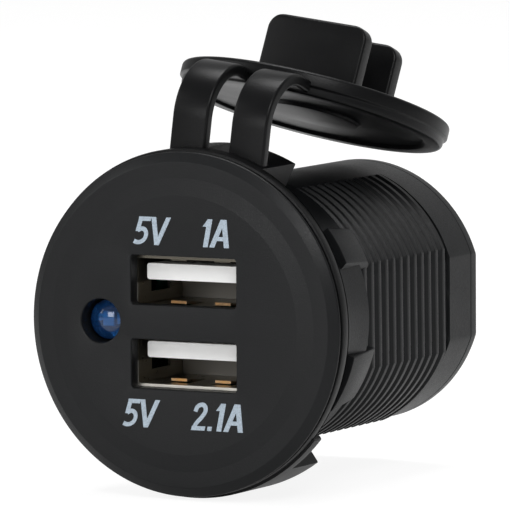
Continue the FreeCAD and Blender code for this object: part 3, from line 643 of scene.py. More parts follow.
def face_outwards(piece, weld=True):
    """Faces of every closed skin in a piece turned to point outwards. A welded piece is one skin from parts
    that came with mixed order, so its points that touch are joined first."""
    work = bmesh.new()
    work.from_mesh(piece.data)
    if weld:
        bmesh.ops.remove_doubles(work, verts=work.verts[:], dist=WELD * MM)
    bmesh.ops.recalc_face_normals(work, faces=work.faces[:])
    if weld and work.calc_volume(signed=True) < 0:
        bmesh.ops.reverse_faces(work, faces=work.faces[:])
    work.to_mesh(piece.data)
    work.free()
    piece.data.set_sharp_from_angle(angle=math.radians(CREASE_ANGLE))
    return piece


def ring_shell():
    """The cover's ring: a section carried round the barrel. Its outer edge is a circle that stands a little
    high, and its back edge steps out where the root block, the foot block and the foot's low flange stand.
    Between the straps the root block's top is cut down level, which limits radius times the cosine of the
    angle."""
    edges = [STRAP_SHIFT + side * STRAP_INNER_EDGE for side in (-1, 1)]
    notch = [math.degrees(math.asin(x / ROOT_NOTCH_HEIGHT)) for x in edges]
    marks = [notch[0] - 0.02, notch[0], notch[1], notch[1] + 0.02]
    for middle, half in ((0, ROOT_BLOCK_HALF), (180, FOOT_BLOCK_HALF), (180, FOOT_FLANGE_HALF)):
        for sign in (-1, 1):
            edge = middle + sign * half
            marks += [edge - 0.5 * sign, edge - 0.15 * sign, edge, edge + 0.02 * sign]
    marks = np.mod(marks, 360)
    even = np.arange(0, 360, RING_STEP)
    kept = [a for a in even if np.abs((marks - a + 180) % 360 - 180).min() > 0.6]
    angles = np.sort(np.concatenate([marks, kept]))
    signed = (angles + 180) % 360 - 180
    near_root = np.abs(signed)
    near_foot = np.abs(angles - 180)
    inset = np.maximum(ROOT_BLOCK_HALF - near_root, FOOT_BLOCK_HALF - near_foot)
    flange = FOOT_FLANGE_HALF - near_foot
    block = (inset > -0.01).astype(float)
    on = ((inset > -0.01) | (flange > -0.01)).astype(float)
    roll = np.clip(np.maximum(inset, np.where(block > 0, 1.0, flange)) / 0.5, 0, 1)
    length = np.where(block > 0, BLOCK_LENGTH, FOOT_FLANGE_LENGTH)
    back = on * (length - 0.16 * (1 - roll))
    t = np.radians(angles)
    edge = RING_RISE * np.cos(t) + np.sqrt(RING_RADIUS ** 2 - (RING_RISE * np.sin(t)) ** 2)
    outer = np.where(on > 0, BLOCK_RADIUS - 0.12 * (1 - roll), edge)
    in_notch = (signed > notch[0] - 0.01) & (signed < notch[1] + 0.01)
    low = np.where(in_notch, ROOT_NOTCH_HEIGHT / np.cos(t), outer)
    cut = 0.05 + 0.17 * on
    bore = np.full(len(angles), RING_BORE)
    flat = np.zeros(len(angles))
    step = np.maximum(np.minimum(STRAP_FRONT, back), 0)
    sections = [
        (bore, flat + RING_FRONT), (edge - RING_EDGE, flat + RING_FRONT),
        (edge - 0.04, flat + RING_FRONT + 0.06), (edge, flat + RING_FRONT + RING_EDGE), (edge, flat - 0.22),
        (edge - 0.05 * (1 - on), flat - 0.06), (outer - 0.05 * (1 - on), flat), (outer - 0.05 * (1 - on), step),
        (low - 0.05 * (1 - on), step), (low, np.maximum(back - cut, 0)),
        (low - cut * 0.3, np.maximum(back - cut * 0.3, 0)), (low - cut, back), (bore + cut, back),
        (bore, np.maximum(back - cut, 0))]
    rings = np.array([shaped_ring(r, y, angles) for r, y in sections])
    points = turn_about_y(rings, COVER_TURN)
    return merged(points.reshape(-1, 3), [grid_faces(len(rings), len(angles), True, True)])


def strap_path(lengths):
    """Places, headings and outward directions along a strap's middle line, for lengths from the block's top.
    It runs straight up, turns back along an arc through 108 degrees and runs down straight to the lid."""
    bend = STRAP_BEND_RADIUS - STRAP_THICKNESS / 2
    up = STRAP_BEND_HEIGHT - BLOCK_RADIUS
    sweep = math.radians(90 + LID_PITCH)
    centre_y = STRAP_FRONT + STRAP_BEND_RADIUS
    turn = np.clip((lengths - up) / bend, 0, sweep)
    before = np.minimum(lengths - up, 0)
    after = np.maximum(lengths - up - sweep * bend, 0)
    y = centre_y - bend * np.cos(turn) + after * math.cos(math.radians(LID_PITCH))
    z = STRAP_BEND_HEIGHT + before + bend * np.sin(turn) - after * math.sin(math.radians(LID_PITCH))
    outward = np.stack([-np.cos(turn), np.sin(turn)], -1)
    return np.stack([y, z], -1), outward


def strap_part(middle_x, first, last):
    """One strap between two lengths: a rounded section carried along the path, closed flat at both ends."""
    lengths = np.linspace(first, last, 60)
    places, outward = strap_path(lengths)
    section = rounded_box_loop(STRAP_WIDTH / 2, STRAP_THICKNESS / 2, STRAP_CORNER, 6)
    x = np.broadcast_to(middle_x + section[:, 0], (len(lengths), len(section)))
    yz = places[:, None, :] + outward[:, None, :] * section[None, :, 1:]
    points, faces = closed_tube(np.concatenate([x[..., None], yz], -1))
    return turn_about_y(points, COVER_TURN), faces


def lid_part():
    """The lid turned about its own axis: sealing recess, rolled lip, stepped wall and dished outside."""
    step = LID_RADIUS - LID_STEP
    wall = LID_RADIUS - LID_LIP_WIDTH
    outline = rounded_outline([
        (0, -LID_RECESS), (wall, -LID_RECESS), (wall + 0.05, 0), (LID_RADIUS, 0),
        (LID_RADIUS, -LID_LIP_HEIGHT), (step, -LID_LIP_HEIGHT - 0.2), (step, -LID_THICKNESS),
        (LID_DISH_RADIUS + 0.35, -LID_THICKNESS),
        (LID_DISH_RADIUS, -LID_THICKNESS + LID_DISH), (LID_BOSS_RADIUS + 0.3, -LID_THICKNESS + LID_DISH),
        (LID_BOSS_RADIUS, -LID_THICKNESS), (0, -LID_THICKNESS)],
        LID_FILLETS, 6)
    points, faces = turned_part(outline, 224)
    return place_lid(points), faces


def plug_part(height):
    """A sealing plug: a rounded section carried along the plug. Near the tip its width draws in along a
    quarter circle of the corner radius and its thickness along a smaller one."""
    corner, edge = PLUG_CORNER, PLUG_EDGE
    tip = PLUG_REACH - corner + corner * np.sin(np.linspace(0, math.pi / 2, 14))
    along = np.concatenate([[-LID_RECESS - PLUG_BURIAL, -PLUG_BURIAL], tip])
    into = np.clip((along - (PLUG_REACH - corner)) / corner, 0, 1)
    width = PLUG_WIDTH / 2 - corner * (1 - np.sqrt(1 - into ** 2))
    thin = np.clip((along - (PLUG_REACH - edge)) / edge, 0, 1)
    thickness = PLUG_THICKNESS / 2 - edge * (1 - np.sqrt(1 - thin ** 2))
    rings = []
    for y, w, h in zip(along, width, thickness):
        loop = rounded_box_loop(w, h, PLUG_ROUND, 5)
        rings.append(np.stack([loop[:, 0] + PORT_X, np.full(len(loop), y), loop[:, 1] + height], -1))
    points, faces = closed_tube(rings)
    return place_lid(points), faces


def lens_part():
    """The lamp's lens: a shallow dome whose depth follows a circle, a straight wall and a rear flange."""
    ball = (LAMP_RADIUS ** 2 + LAMP_DOME ** 2) / (2 * LAMP_DOME)
    r = LAMP_RADIUS * np.sin(np.linspace(0, math.pi / 2, 14))
    dome = np.stack([r, LAMP_FRONT + ball - np.sqrt(ball ** 2 - r ** 2)], -1)
    tail = LAMP_FRONT + LAMP_LENGTH
    flange = LAMP_RADIUS + LAMP_FLANGE
    front = tail - LAMP_FLANGE_LENGTH
    rest = np.array([(LAMP_RADIUS, front - LAMP_FLANGE_ROLL), (flange, front), (flange, tail), (0, tail)])
    points, faces = turned_part(np.concatenate([dome, rest]), 64)
    return points + np.array([LAMP_X, 0, LAMP_Z]), faces


def smooth_path(points, steps=8):
    """A curve through points: between each two, the cubic whose slopes are half the step from the point
    before to the point after."""
    points = np.asarray(points, float)
    padded = np.concatenate([2 * points[:1] - points[1:2], points, 2 * points[-1:] - points[-2:-1]])
    before, start, end, after = padded[:-3], padded[1:-2], padded[2:-1], padded[3:]
    u = np.linspace(0, 1, steps, endpoint=False)[None, :, None]
    a, b, c, d = (k[:, None, :] for k in (before, start, end, after))
    curve = 2 * b + (c - a) * u + (2 * a - 5 * b + 4 * c - d) * u ** 2 + (3 * b - a - 3 * c + d) * u ** 3
    curve *= 0.5
    return np.concatenate([curve.reshape(-1, 2), points[-1:]])


def curved_stroke(points, width):
    """Left and right edges of a stroke: half the width to each side of a smooth curve through the points."""
    path = smooth_path(points)
    along = np.gradient(path, axis=0)
    along /= np.linalg.norm(along, axis=1, keepdims=True)
    across = np.stack([-along[:, 1], along[:, 0]], -1) * width / 2
    return path + across, path - across


def level_stroke(low, high, bottom, top):
    """Left and right edges of a straight stroke cut level at both ends: (left, right) at its bottom and
    top."""
    return np.array([(low[0], bottom), (high[0], top)]), np.array([(low[1], bottom), (high[1], top)])


def glyph(letter):
    """The strokes of one character, in millimetres from the left end of its baseline, not yet slanted."""
    strokes = GLYPHS[letter]
    return [curved_stroke(*stroke) if len(stroke) == 2 else level_stroke(*stroke) for stroke in strokes]


def rating_part(text, starts, baseline, thickness):
    """Printed characters as thin prisms on the face: each stroke is slanted, stands a hair over the one
    before and is closed by flat ends."""
    parts = []
    for letter, start in zip(text, starts):
        for edges in glyph(letter):
            lift = thickness * (1 + 0.12 * len(parts))
            slanted = [edge[:, 0] + start + edge[:, 1] * LETTER_SLANT for edge in edges]
            front, back = FACE_FRONT - lift, FACE_FRONT + thickness
            rows = []
            for side, y in ((0, front), (1, front), (1, back), (0, back)):
                height = edges[side][:, 1] + baseline
                rows.append(np.stack([slanted[side], np.full(len(height), y), height], -1))
            points = np.stack(rows, 1)
            start_cap = np.array([[3, 2, 1, 0]])
            end_cap = np.array([[0, 1, 2, 3]]) + 4 * (len(points) - 1)
            faces = [grid_faces(len(points), 4, False, True), start_cap, end_cap]
            parts.append((points.reshape(-1, 3), faces))
    return join_parts(parts)


class Value:
    """A shader number. Arithmetic on it adds the Math node that works it out."""

    def __init__(self, tree, socket):
        self.tree = tree
        self.socket = socket

    def work(self, operation, *values, clamp=False):
        node = self.tree.nodes.new("ShaderNodeMath")
        node.operation = operation
        node.use_clamp = clamp
        for slot, value in zip(node.inputs, values):
            if isinstance(value, Value):
                self.tree.links.new(value.socket, slot)
            else:
                slot.default_value = value
        return Value(self.tree, node.outputs[0])

    def __add__(self, other):
        return self.work("ADD", self, other)

    def __sub__(self, other):
        return self.work("SUBTRACT", self, other)

    def __mul__(self, other):
        return self.work("MULTIPLY", self, other)

    def __truediv__(self, other):
        return self.work("DIVIDE", self, other)

    def __rsub__(self, other):
        return self.work("SUBTRACT", other, self)

    def __gt__(self, other):
        return self.work("GREATER_THAN", self, other)

    def clipped(self):
        return self.work("ADD", self, 0.0, clamp=True)

    def size(self):
        return self.work("ABSOLUTE", self)

    def fraction(self):
        return self.work("FRACT", self)

    def least(self, other):
        return self.work("MINIMUM", self, other)

    __radd__ = __add__
    __rmul__ = __mul__


class Finish:
    """A material under construction: its nodes, and the few helpers that the finishes share."""

    def __init__(self, name):
        self.material = bpy.data.materials.new(name)
        self.material.use_nodes = True
        self.tree = self.material.node_tree
        self.tree.nodes.clear()
        self.output = self.tree.nodes.new("ShaderNodeOutputMaterial")

    def node(self, kind, settings=None, **inputs):
        """A node of a kind, with its settings first and then the values or links of its sockets."""
        node = self.tree.nodes.new(kind)
        for key, value in (settings or {}).items():
            setattr(node, key, value)
        for key, value in inputs.items():
            numbered = key[0] == "i" and key[1:].isdigit()
            slot = node.inputs[int(key[1:]) if numbered else key.replace("_", " ")]
            if isinstance(value, Value):
                self.tree.links.new(value.socket, slot)
            elif isinstance(value, bpy.types.NodeSocket):
                self.tree.links.new(value, slot)
            else:
                slot.default_value = value
        return node

    def value(self, node, output=0):
        return Value(self.tree, node.outputs[output])

    def coordinates(self):
        return self.node("ShaderNodeTexCoord").outputs["Object"]

    def axes(self):
        """The place's X, Y and Z in millimetres."""
        split = self.node("ShaderNodeSeparateXYZ", Vector=self.coordinates())
        return [self.value(split, k) / MM for k in range(3)]

    def noise(self, grain, detail=2.0, roughness=0.5, vector=None):
        """Noise whose lumps are about grain millimetres across."""
        node = self.node("ShaderNodeTexNoise", Vector=vector or self.coordinates(), Scale=1 / (grain * MM),
                         Detail=detail, Roughness=roughness)
        return self.value(node, "Fac")

    def mix(self, factor, first, second):
        """One colour into another."""
        node = self.node("ShaderNodeMix", {"data_type": "RGBA"}, i0=factor, i6=first, i7=second)
        return node.outputs[2]

    def bump(self, height, depth):
        """Relief of a depth in millimetres."""
        return self.node("ShaderNodeBump", Height=height, Distance=depth * MM, Strength=1.0).outputs[0]

    def surface(self, **inputs):
        shader = self.node("ShaderNodeBsdfPrincipled", **inputs)
        self.tree.links.new(shader.outputs[0], self.output.inputs[0])
        return self.material


def shade(colour, factor):
    """A colour made lighter or darker."""
    return tuple(min(c * factor, 1.0) for c in colour[:3]) + (1.0,)


def moulded_plastic(name, colour, roughness, grain, depth):
    """Spark-eroded plastic: fine pits, a slow unevenness in gloss and a faint change of tone."""
    finish = Finish(name)
    pits = finish.noise(grain, 3.0, 0.6)
    slow = finish.noise(7.0, 2.0)
    fine = finish.noise(grain * 0.45, 1.0)
    tone = finish.mix((slow * 0.7 + fine * 0.3).clipped(), shade(colour, 0.82), shade(colour, 1.25))
    gloss = (slow - 0.5) * 0.16 + (pits - 0.5) * 0.3 + roughness
    return finish.surface(Base_Color=tone, Roughness=gloss.clipped(), Specular_IOR_Level=0.21,
                          Normal=finish.bump(pits + fine * 0.4, depth * 1.3))


def soft_rubber(name, colour):
    """Soft cover material: matt with a silky sheen, tiny pits and pale handling marks."""
    finish = Finish(name)
    pits = finish.noise(0.22, 2.0, 0.6)
    slow = finish.noise(5.0, 3.0)
    marks = finish.noise(1.4, 4.0, 0.7)
    rub = ((marks - 0.62) * 6.0).clipped()
    tone = finish.mix((slow * 0.8 + rub * 0.4).clipped(), shade(colour, 0.8), shade(colour, 1.5))
    gloss = (slow - 0.5) * 0.14 + rub * 0.06 + 0.34
    return finish.surface(Base_Color=tone, Roughness=gloss.clipped(), Specular_IOR_Level=0.14,
                          Normal=finish.bump(pits, 0.012))


def plated_metal(name, colour, roughness, stretch=(1, 1, 1), wear=0.25):
    """Plated sheet: fine rolling lines along one direction and duller patches."""
    finish = Finish(name)
    lines = finish.node("ShaderNodeMapping", Vector=finish.coordinates(), Scale=stretch).outputs[0]
    brushed = finish.noise(0.25, 3.0, 0.6, lines)
    patches = finish.noise(1.6, 3.0)
    tone = finish.mix((patches * 0.6 + brushed * 0.4).clipped(), shade(colour, 0.78), shade(colour, 1.12))
    gloss = brushed * 0.12 + (patches - 0.5) * wear + roughness
    return finish.surface(Base_Color=tone, Metallic=1.0, Roughness=gloss.clipped(),
                          Normal=finish.bump(brushed, 0.002))


def port_shell(name, colour):
    """Plated port shell: rolling lines along the port, dull patches, painted shade darkening the upper half of
    each shell, a painted highlight along the front cut edge of its lower half, and a brassy tone on the
    spring leaves in its floor, part their own colour and part painted highlight, picked out by their place."""
    finish = Finish(name)
    x, y, z = finish.axes()
    lines = finish.node("ShaderNodeMapping", Vector=finish.coordinates(), Scale=(1, 0.15, 1)).outputs[0]
    brushed = finish.noise(0.25, 3.0, 0.6, lines)
    patches = finish.noise(1.3, 3.0)
    upper, lower = PORT_HEIGHTS
    below_upper = ((upper - z) * 4.0).clipped() * (z * 4.0).clipped()
    lower_half = (below_upper + ((lower - z) * 4.0).clipped()).clipped()
    # Painted highlight: a pale line along the front edge, kept to each shell's lower half, where the light
    # falls.
    front = ((SHELL_FRONT + 0.06 - y) * 12.0).clipped() * lower_half
    beside = 1.0 - ((x - PORT_X).size() - SPRING_OFFSET).size() / 1.0
    along = 1.0 - (y - (SHELL_FRONT + SPRING_START + 1.3)).size() / 1.6
    off_middle = (z - upper).size().least((z - lower).size())
    inside = 1.0 - (off_middle - SHELL_HALF_HEIGHT).size() / 0.45
    # Brassy tone on the floor's spring leaves: part their own colour, part painted highlight; the roof's
    # leaves, under painted shade, get none.
    leaf = (beside * 8.0).clipped() * (along * 4.0).clipped() * (inside * 6.0).clipped() * lower_half
    leaf = leaf * (patches * 1.5).clipped()
    tone = finish.mix((patches * 0.6 + brushed * 0.4).clipped(), shade(colour, 0.7), shade(colour, 1.15))
    # Painted shade: the upper half of each shell, its roof, is darkened to three tenths of the nickel.
    tone = finish.mix(lower_half, shade(colour, 0.3), tone)
    tone = finish.mix(leaf.clipped(), tone, (0.5, 0.27, 0.1, 1.0))
    tone = finish.mix(front, tone, (0.78, 0.76, 0.7, 1.0))
    gloss = brushed * 0.12 + (patches - 0.5) * 0.25 + 0.26
    return finish.surface(Base_Color=tone, Metallic=1.0, Roughness=gloss.clipped(),
                          Normal=finish.bump(brushed, 0.002))


def white_moulding(name, colour):
    """White insulator: satin, with flow marks, a warm tint in places and painted shade that greys it towards
    the port's back."""
    finish = Finish(name)
    _, y, _ = finish.axes()
    flow = finish.noise(2.2, 3.0)
    fine = finish.noise(0.18, 2.0)
    # Painted shade: the white greys towards the port's back, where little light reaches.
    painted_back_shade = ((y - 1.5) / 6.0).clipped()
    tone = finish.mix(flow, shade(colour, 0.93), shade(colour, 1.03))
    tone = finish.mix(painted_back_shade, tone, (0.2, 0.19, 0.17, 1.0))
    gloss = (flow - 0.5) * 0.15 + fine * 0.1 + 0.34
    return finish.surface(Base_Color=tone, Roughness=gloss.clipped(), Normal=finish.bump(fine, 0.004))


def tinted_lens(name, colour):
    """Clear blue lens: light passes through, with a faint moulding ripple in the gloss."""
    finish = Finish(name)
    ripple = finish.noise(0.9, 2.0)
    tone = finish.mix(ripple, shade(colour, 0.9), shade(colour, 1.12))
    gloss = ripple * 0.06 + 0.05
    return finish.surface(Base_Color=tone, Roughness=gloss.clipped(), Transmission_Weight=0.85, IOR=1.52,
                          Normal=finish.bump(ripple, 0.004))


def circuit_board(name, colour):
    """Green solder mask: raised copper runs as soft-edged steps, and a woven tint under the mask."""
    finish = Finish(name)
    runs = finish.node("ShaderNodeTexBrick", {"offset": 0.5}, Vector=finish.coordinates(), Scale=420.0,
                       Color1=(0, 0, 0, 1), Color2=(1, 1, 1, 1), Mortar=(0.5, 0.5, 0.5, 1), Mortar_Size=0.012)
    weave = finish.noise(0.5, 2.0)
    copper = finish.value(finish.node("ShaderNodeSeparateColor", Color=runs.outputs[0]), 0)
    tone = finish.mix((copper * 0.6 + weave * 0.4).clipped(), shade(colour, 0.75), shade(colour, 1.35))
    gloss = weave * 0.1 + 0.3
    relief = finish.bump(copper * 0.6 + weave * 0.1, 0.03)
    return finish.surface(Base_Color=tone, Roughness=gloss.clipped(), Normal=relief)


def wound_wire(name, colour):
    """Enamelled winding: wires as rounded bands across the height, with painted shading: dark between the
    wires and light on their crowns.
    """
    finish = Finish(name)
    _, _, z = finish.axes()
    band = (z / WIRE_PITCH).fraction()
    wire_relief_and_shade = 1.0 - (band - 0.5).size() * 2.0
    # Painted shading of each wire's roundness: dark between wires, light on the crowns. The same bands give the
    # relief.
    tone = finish.mix(wire_relief_and_shade.clipped(), shade(colour, 0.45), shade(colour, 1.2))
    gloss = finish.noise(0.8) * 0.1 + 0.28
    return finish.surface(Base_Color=tone, Metallic=0.6, Roughness=gloss, Normal=finish.bump(wire_relief_and_shade, 0.1))


def can_sleeve(name, colour):
    """Capacitor: a dark shrink sleeve on the wall, bare metal with a scored vent on the top."""
    finish = Finish(name)
    _, _, z = finish.axes()
    top = z > CAN_TOP
    smear = finish.noise(1.5, 3.0)
    tone = finish.mix(top, finish.mix(smear, shade(colour, 0.8), shade(colour, 1.3)), (0.62, 0.62, 0.63, 1.0))
    gloss = smear * 0.14 + 0.26
    return finish.surface(Base_Color=tone, Metallic=top, Roughness=gloss, Normal=finish.bump(smear, 0.01))


def baked_block(name, colour, roughness):
    """Fired or moulded small part: matt, with grains of a lighter tone."""
    finish = Finish(name)
    grains = finish.noise(0.12, 2.0)
    slow = finish.noise(1.2, 2.0)
    tone = finish.mix((grains * 0.5 + slow * 0.5).clipped(), shade(colour, 0.75), shade(colour, 1.35))
    gloss = (grains - 0.5) * 0.2 + roughness
    return finish.surface(Base_Color=tone, Roughness=gloss.clipped(), Normal=finish.bump(grains, 0.01))


def printed_ink(name, colour):
    """Pad-printed ink: slightly thin and speckled where the plastic's grain shows through."""
    finish = Finish(name)
    specks = finish.noise(0.16, 3.0, 0.7)
    tone = finish.mix(((specks - 0.35) * 3.0).clipped(), shade(colour, 0.72), shade(colour, 1.08))
    gloss = specks * 0.2 + 0.45
    return finish.surface(Base_Color=tone, Roughness=gloss.clipped(), Normal=finish.bump(specks, 0.01))


class SocketLooks(bpy.types.PropertyGroup):
    """Colours and finishes that a user may change."""

    housing_colour: FloatVectorProperty(
        name="Housing colour", description="Plastic of the face and barrel", subtype="COLOR", size=3,
        default=(0.0042, 0.0046, 0.0052), min=0, max=1)
    housing_roughness: FloatProperty(
        name="Housing roughness", description="Mean roughness of the moulded plastic", default=0.42,
        min=0, max=1)
    cover_colour: FloatVectorProperty(
        name="Cover colour", description="Soft ring, straps and lid", subtype="COLOR", size=3,
        default=(0.0034, 0.0035, 0.0038), min=0, max=1)
    # Nickel darkened with painted shade for the dim insides of the ports.
    shell_colour: FloatVectorProperty(
        name="Port shell colour", description="Nickel plate of the port shells", subtype="COLOR", size=3,
        default=(0.36, 0.33, 0.27), min=0, max=1)
    insulator_colour: FloatVectorProperty(
        name="Insulator colour", description="White tongues and rear blocks of the ports", subtype="COLOR",
        size=3, default=(0.82, 0.82, 0.81), min=0, max=1)
    lens_colour: FloatVectorProperty(
        name="Lamp colour", description="Clear lens of the lamp", subtype="COLOR", size=3,
        default=(0.02, 0.14, 0.48), min=0, max=1)
    ink_colour: FloatVectorProperty(
        name="Print colour", description="Ink of the ratings beside the ports", subtype="COLOR", size=3,
        default=(0.36, 0.43, 0.5), min=0, max=1)
    board_colour: FloatVectorProperty(
        name="Board colour", description="Solder mask of both boards", subtype="COLOR", size=3,
        default=(0.015, 0.11, 0.04), min=0, max=1)


class SocketSizes(bpy.types.PropertyGroup):
    """Sizes of the finish that a user may change, in metres."""

    grain_size: FloatProperty(
        name="Grain size", description="Pits of the moulded plastic", default=0.19 * MM, unit="LENGTH")
    grain_depth: FloatProperty(
        name="Grain depth", description="Depth of the pits", default=0.012 * MM, unit="LENGTH")
    print_depth: FloatProperty(
        name="Print thickness", description="How far the ink stands on the face", default=0.02 * MM,
        unit="LENGTH")
    floor_drop: FloatProperty(
        name="Floor drop", description="Gap between the face's lowest point and the floor", default=0.1 * MM,
        unit="LENGTH")


def looks():
    return bpy.context.scene.socket_looks


def sizes():
    return bpy.context.scene.socket_sizes


def dress(piece, material):
    """Gives an object one material."""
    piece.data.materials.clear()
    piece.data.materials.append(material)


def dress_node(node, material):
    """Puts a material into a CAD node's own slots."""
    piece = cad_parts[node]
    if not piece.material_slots:
        piece.data.materials.append(material)
    for slot in piece.material_slots:
        slot.link = "OBJECT"
        slot.material = material


class SOCKET_OT_housing(bpy.types.Operator):
    """Builds the face, collar, lugs and threaded barrel as one skin"""

    bl_idname = "socket.housing"
    bl_label = "Housing"

    def execute(self, context):
        points, faces = join_parts([housing_shell()] + lug_parts())
        piece = face_outwards(make_piece("socket_housing", points, faces))
        colour = looks().housing_colour
        dress(piece, moulded_plastic("grained_plastic", colour, looks().housing_roughness,
                                     sizes().grain_size / MM, sizes().grain_depth / MM))
        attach(piece, "socket")
        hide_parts("housing")
        dress_node("rear_cap", moulded_plastic("cap_plastic", colour, 0.5, 0.3, 0.015))
        return {"FINISHED"}


class SOCKET_OT_cover(bpy.types.Operator):
    """Builds the ring, both straps and the lid with its plugs"""

    bl_idname = "socket.cover"
    bl_label = "Soft cover"

    def execute(self, context):
        rubber = soft_rubber("cover_rubber", looks().cover_colour)
        ring = face_outwards(make_piece("cover_ring_band", *ring_shell()))
        dress(ring, rubber)
        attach(ring, "cover_base")
        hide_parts("cover_ring")
        self.straps(rubber)
        parts = [lid_part()] + [plug_part(height) for height in PLUG_OFFSETS]
        lid = make_piece("cover_lid_disc", *join_parts(parts), outwards=False)
        face_outwards(lid, weld=False)
        dress(lid, rubber)
        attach(lid, "cover_lid")
        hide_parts("cover_cap")
        return {"FINISHED"}

    def straps(self, rubber):
        """Both straps in two halves that meet at the split."""
        middle = STRAP_INNER_EDGE + STRAP_WIDTH / 2
        up = STRAP_BEND_HEIGHT - BLOCK_RADIUS
        bend = (STRAP_BEND_RADIUS - STRAP_THICKNESS / 2) * math.radians(90 + LID_PITCH)
        low, high = STRAP_BEND_MARGINS
        marks = {"low": low, "split": up + STRAP_SPLIT, "high": up + bend + high}
        for key, length in marks.items():
            places, _ = strap_path(np.array([length]))
            spot = turn_about_y(np.array([[0.0, places[0, 0], places[0, 1]]]), COVER_TURN)[0]
        lower, upper = [], []
        for x in (STRAP_SHIFT - middle, STRAP_SHIFT + middle):
            lower.append(strap_part(x, -STRAP_BURIAL, marks["split"]))
            upper.append(strap_part(x, marks["split"], up + bend + STRAP_OVERRUN))
        for name, parts, bodies, ends in (
                ("cover_strap_lower", lower, ("cover_base", "strap_link"), ("low", "split")),
                ("cover_strap_upper", upper, ("strap_link", "cover_lid"), ("split", "high"))):
            piece = make_piece(name, *join_parts(parts), outwards=False)
            face_outwards(piece, weld=False)
            dress(piece, rubber)
            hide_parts("cover_straps")
            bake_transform(piece)


class SOCKET_OT_ports(bpy.types.Operator):
    """Finishes the port shells, insulators and contacts"""

    bl_idname = "socket.ports"
    bl_label = "Ports"

    def execute(self, context):
        shell = port_shell("shell_nickel", looks().shell_colour)
        white = white_moulding("insulator_white", looks().insulator_colour)
        gold = plated_metal("contact_gold", (0.83, 0.6, 0.26), 0.22, (1, 0.2, 1))
        for place in ("upper", "lower"):
            dress_node("usb_shell_" + place, shell)
            dress_node("usb_insulator_" + place, white)
            dress_node("usb_contacts_" + place, gold)
        return {"FINISHED"}


class SOCKET_OT_lamp(bpy.types.Operator):
    """Builds the lamp's lens and finishes its leads"""

    bl_idname = "socket.lamp"
    bl_label = "Lamp"

    def execute(self, context):
        piece = make_piece("lamp_lens_dome", *lens_part())
        dress(piece, tinted_lens("lens_blue", looks().lens_colour))
        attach(piece, "socket")
        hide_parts("lamp_lens")
        dress_node("lamp_leads", plated_metal("lead_tin", (0.3, 0.55, 0.5), 0.4))
        return {"FINISHED"}


class SOCKET_OT_ratings(bpy.types.Operator):
    """Prints the plain volt and ampere ratings beside the ports"""

    bl_idname = "socket.ratings"
    bl_label = "Ratings"

    def execute(self, context):
        ink = printed_ink("rating_ink", looks().ink_colour)
        for number, (text, starts, baseline) in enumerate(RATINGS):
            points, faces = rating_part(text, starts, baseline, sizes().print_depth / MM)
            piece = make_piece("rating_%d" % number, points, faces, outwards=False)
            face_outwards(piece, weld=False)
            dress(piece, ink)
            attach(piece, "socket")
        return {"FINISHED"}


class SOCKET_OT_inside(bpy.types.Operator):
    """Finishes the boards, their parts and the blades"""

    bl_idname = "socket.inside"
    bl_label = "Boards and blades"

    def execute(self, context):
        board = circuit_board("board_green", looks().board_colour)
        dress_node("port_board", board)
        dress_node("power_board", board)
        dress_node("board_pins", plated_metal("pin_gold", (0.8, 0.62, 0.3), 0.25))
        dress_node("positive_blade", plated_metal("blade_brass", (0.72, 0.55, 0.27), 0.26, (1, 0.1, 1)))
        dress_node("negative_blade", plated_metal("blade_tin", (0.66, 0.66, 0.66), 0.28, (1, 0.1, 1)))
        sleeve = can_sleeve("capacitor_sleeve", (0.02, 0.02, 0.03))
        dress_node("input_capacitor", sleeve)
        dress_node("output_capacitors", sleeve)
        dress_node("inductor_cores", baked_block("ferrite_grey", (0.03, 0.03, 0.032), 0.6))
        dress_node("inductor_coils", wound_wire("copper_wire", (0.55, 0.2, 0.07)))
        chip = baked_block("chip_black", (0.015, 0.015, 0.016), 0.45)
        dress_node("converter_chips", chip)
        dress_node("rectifier_diodes", chip)
        dress_node("input_fuse", baked_block("fuse_cream", (0.6, 0.56, 0.45), 0.5))
        return {"FINISHED"}


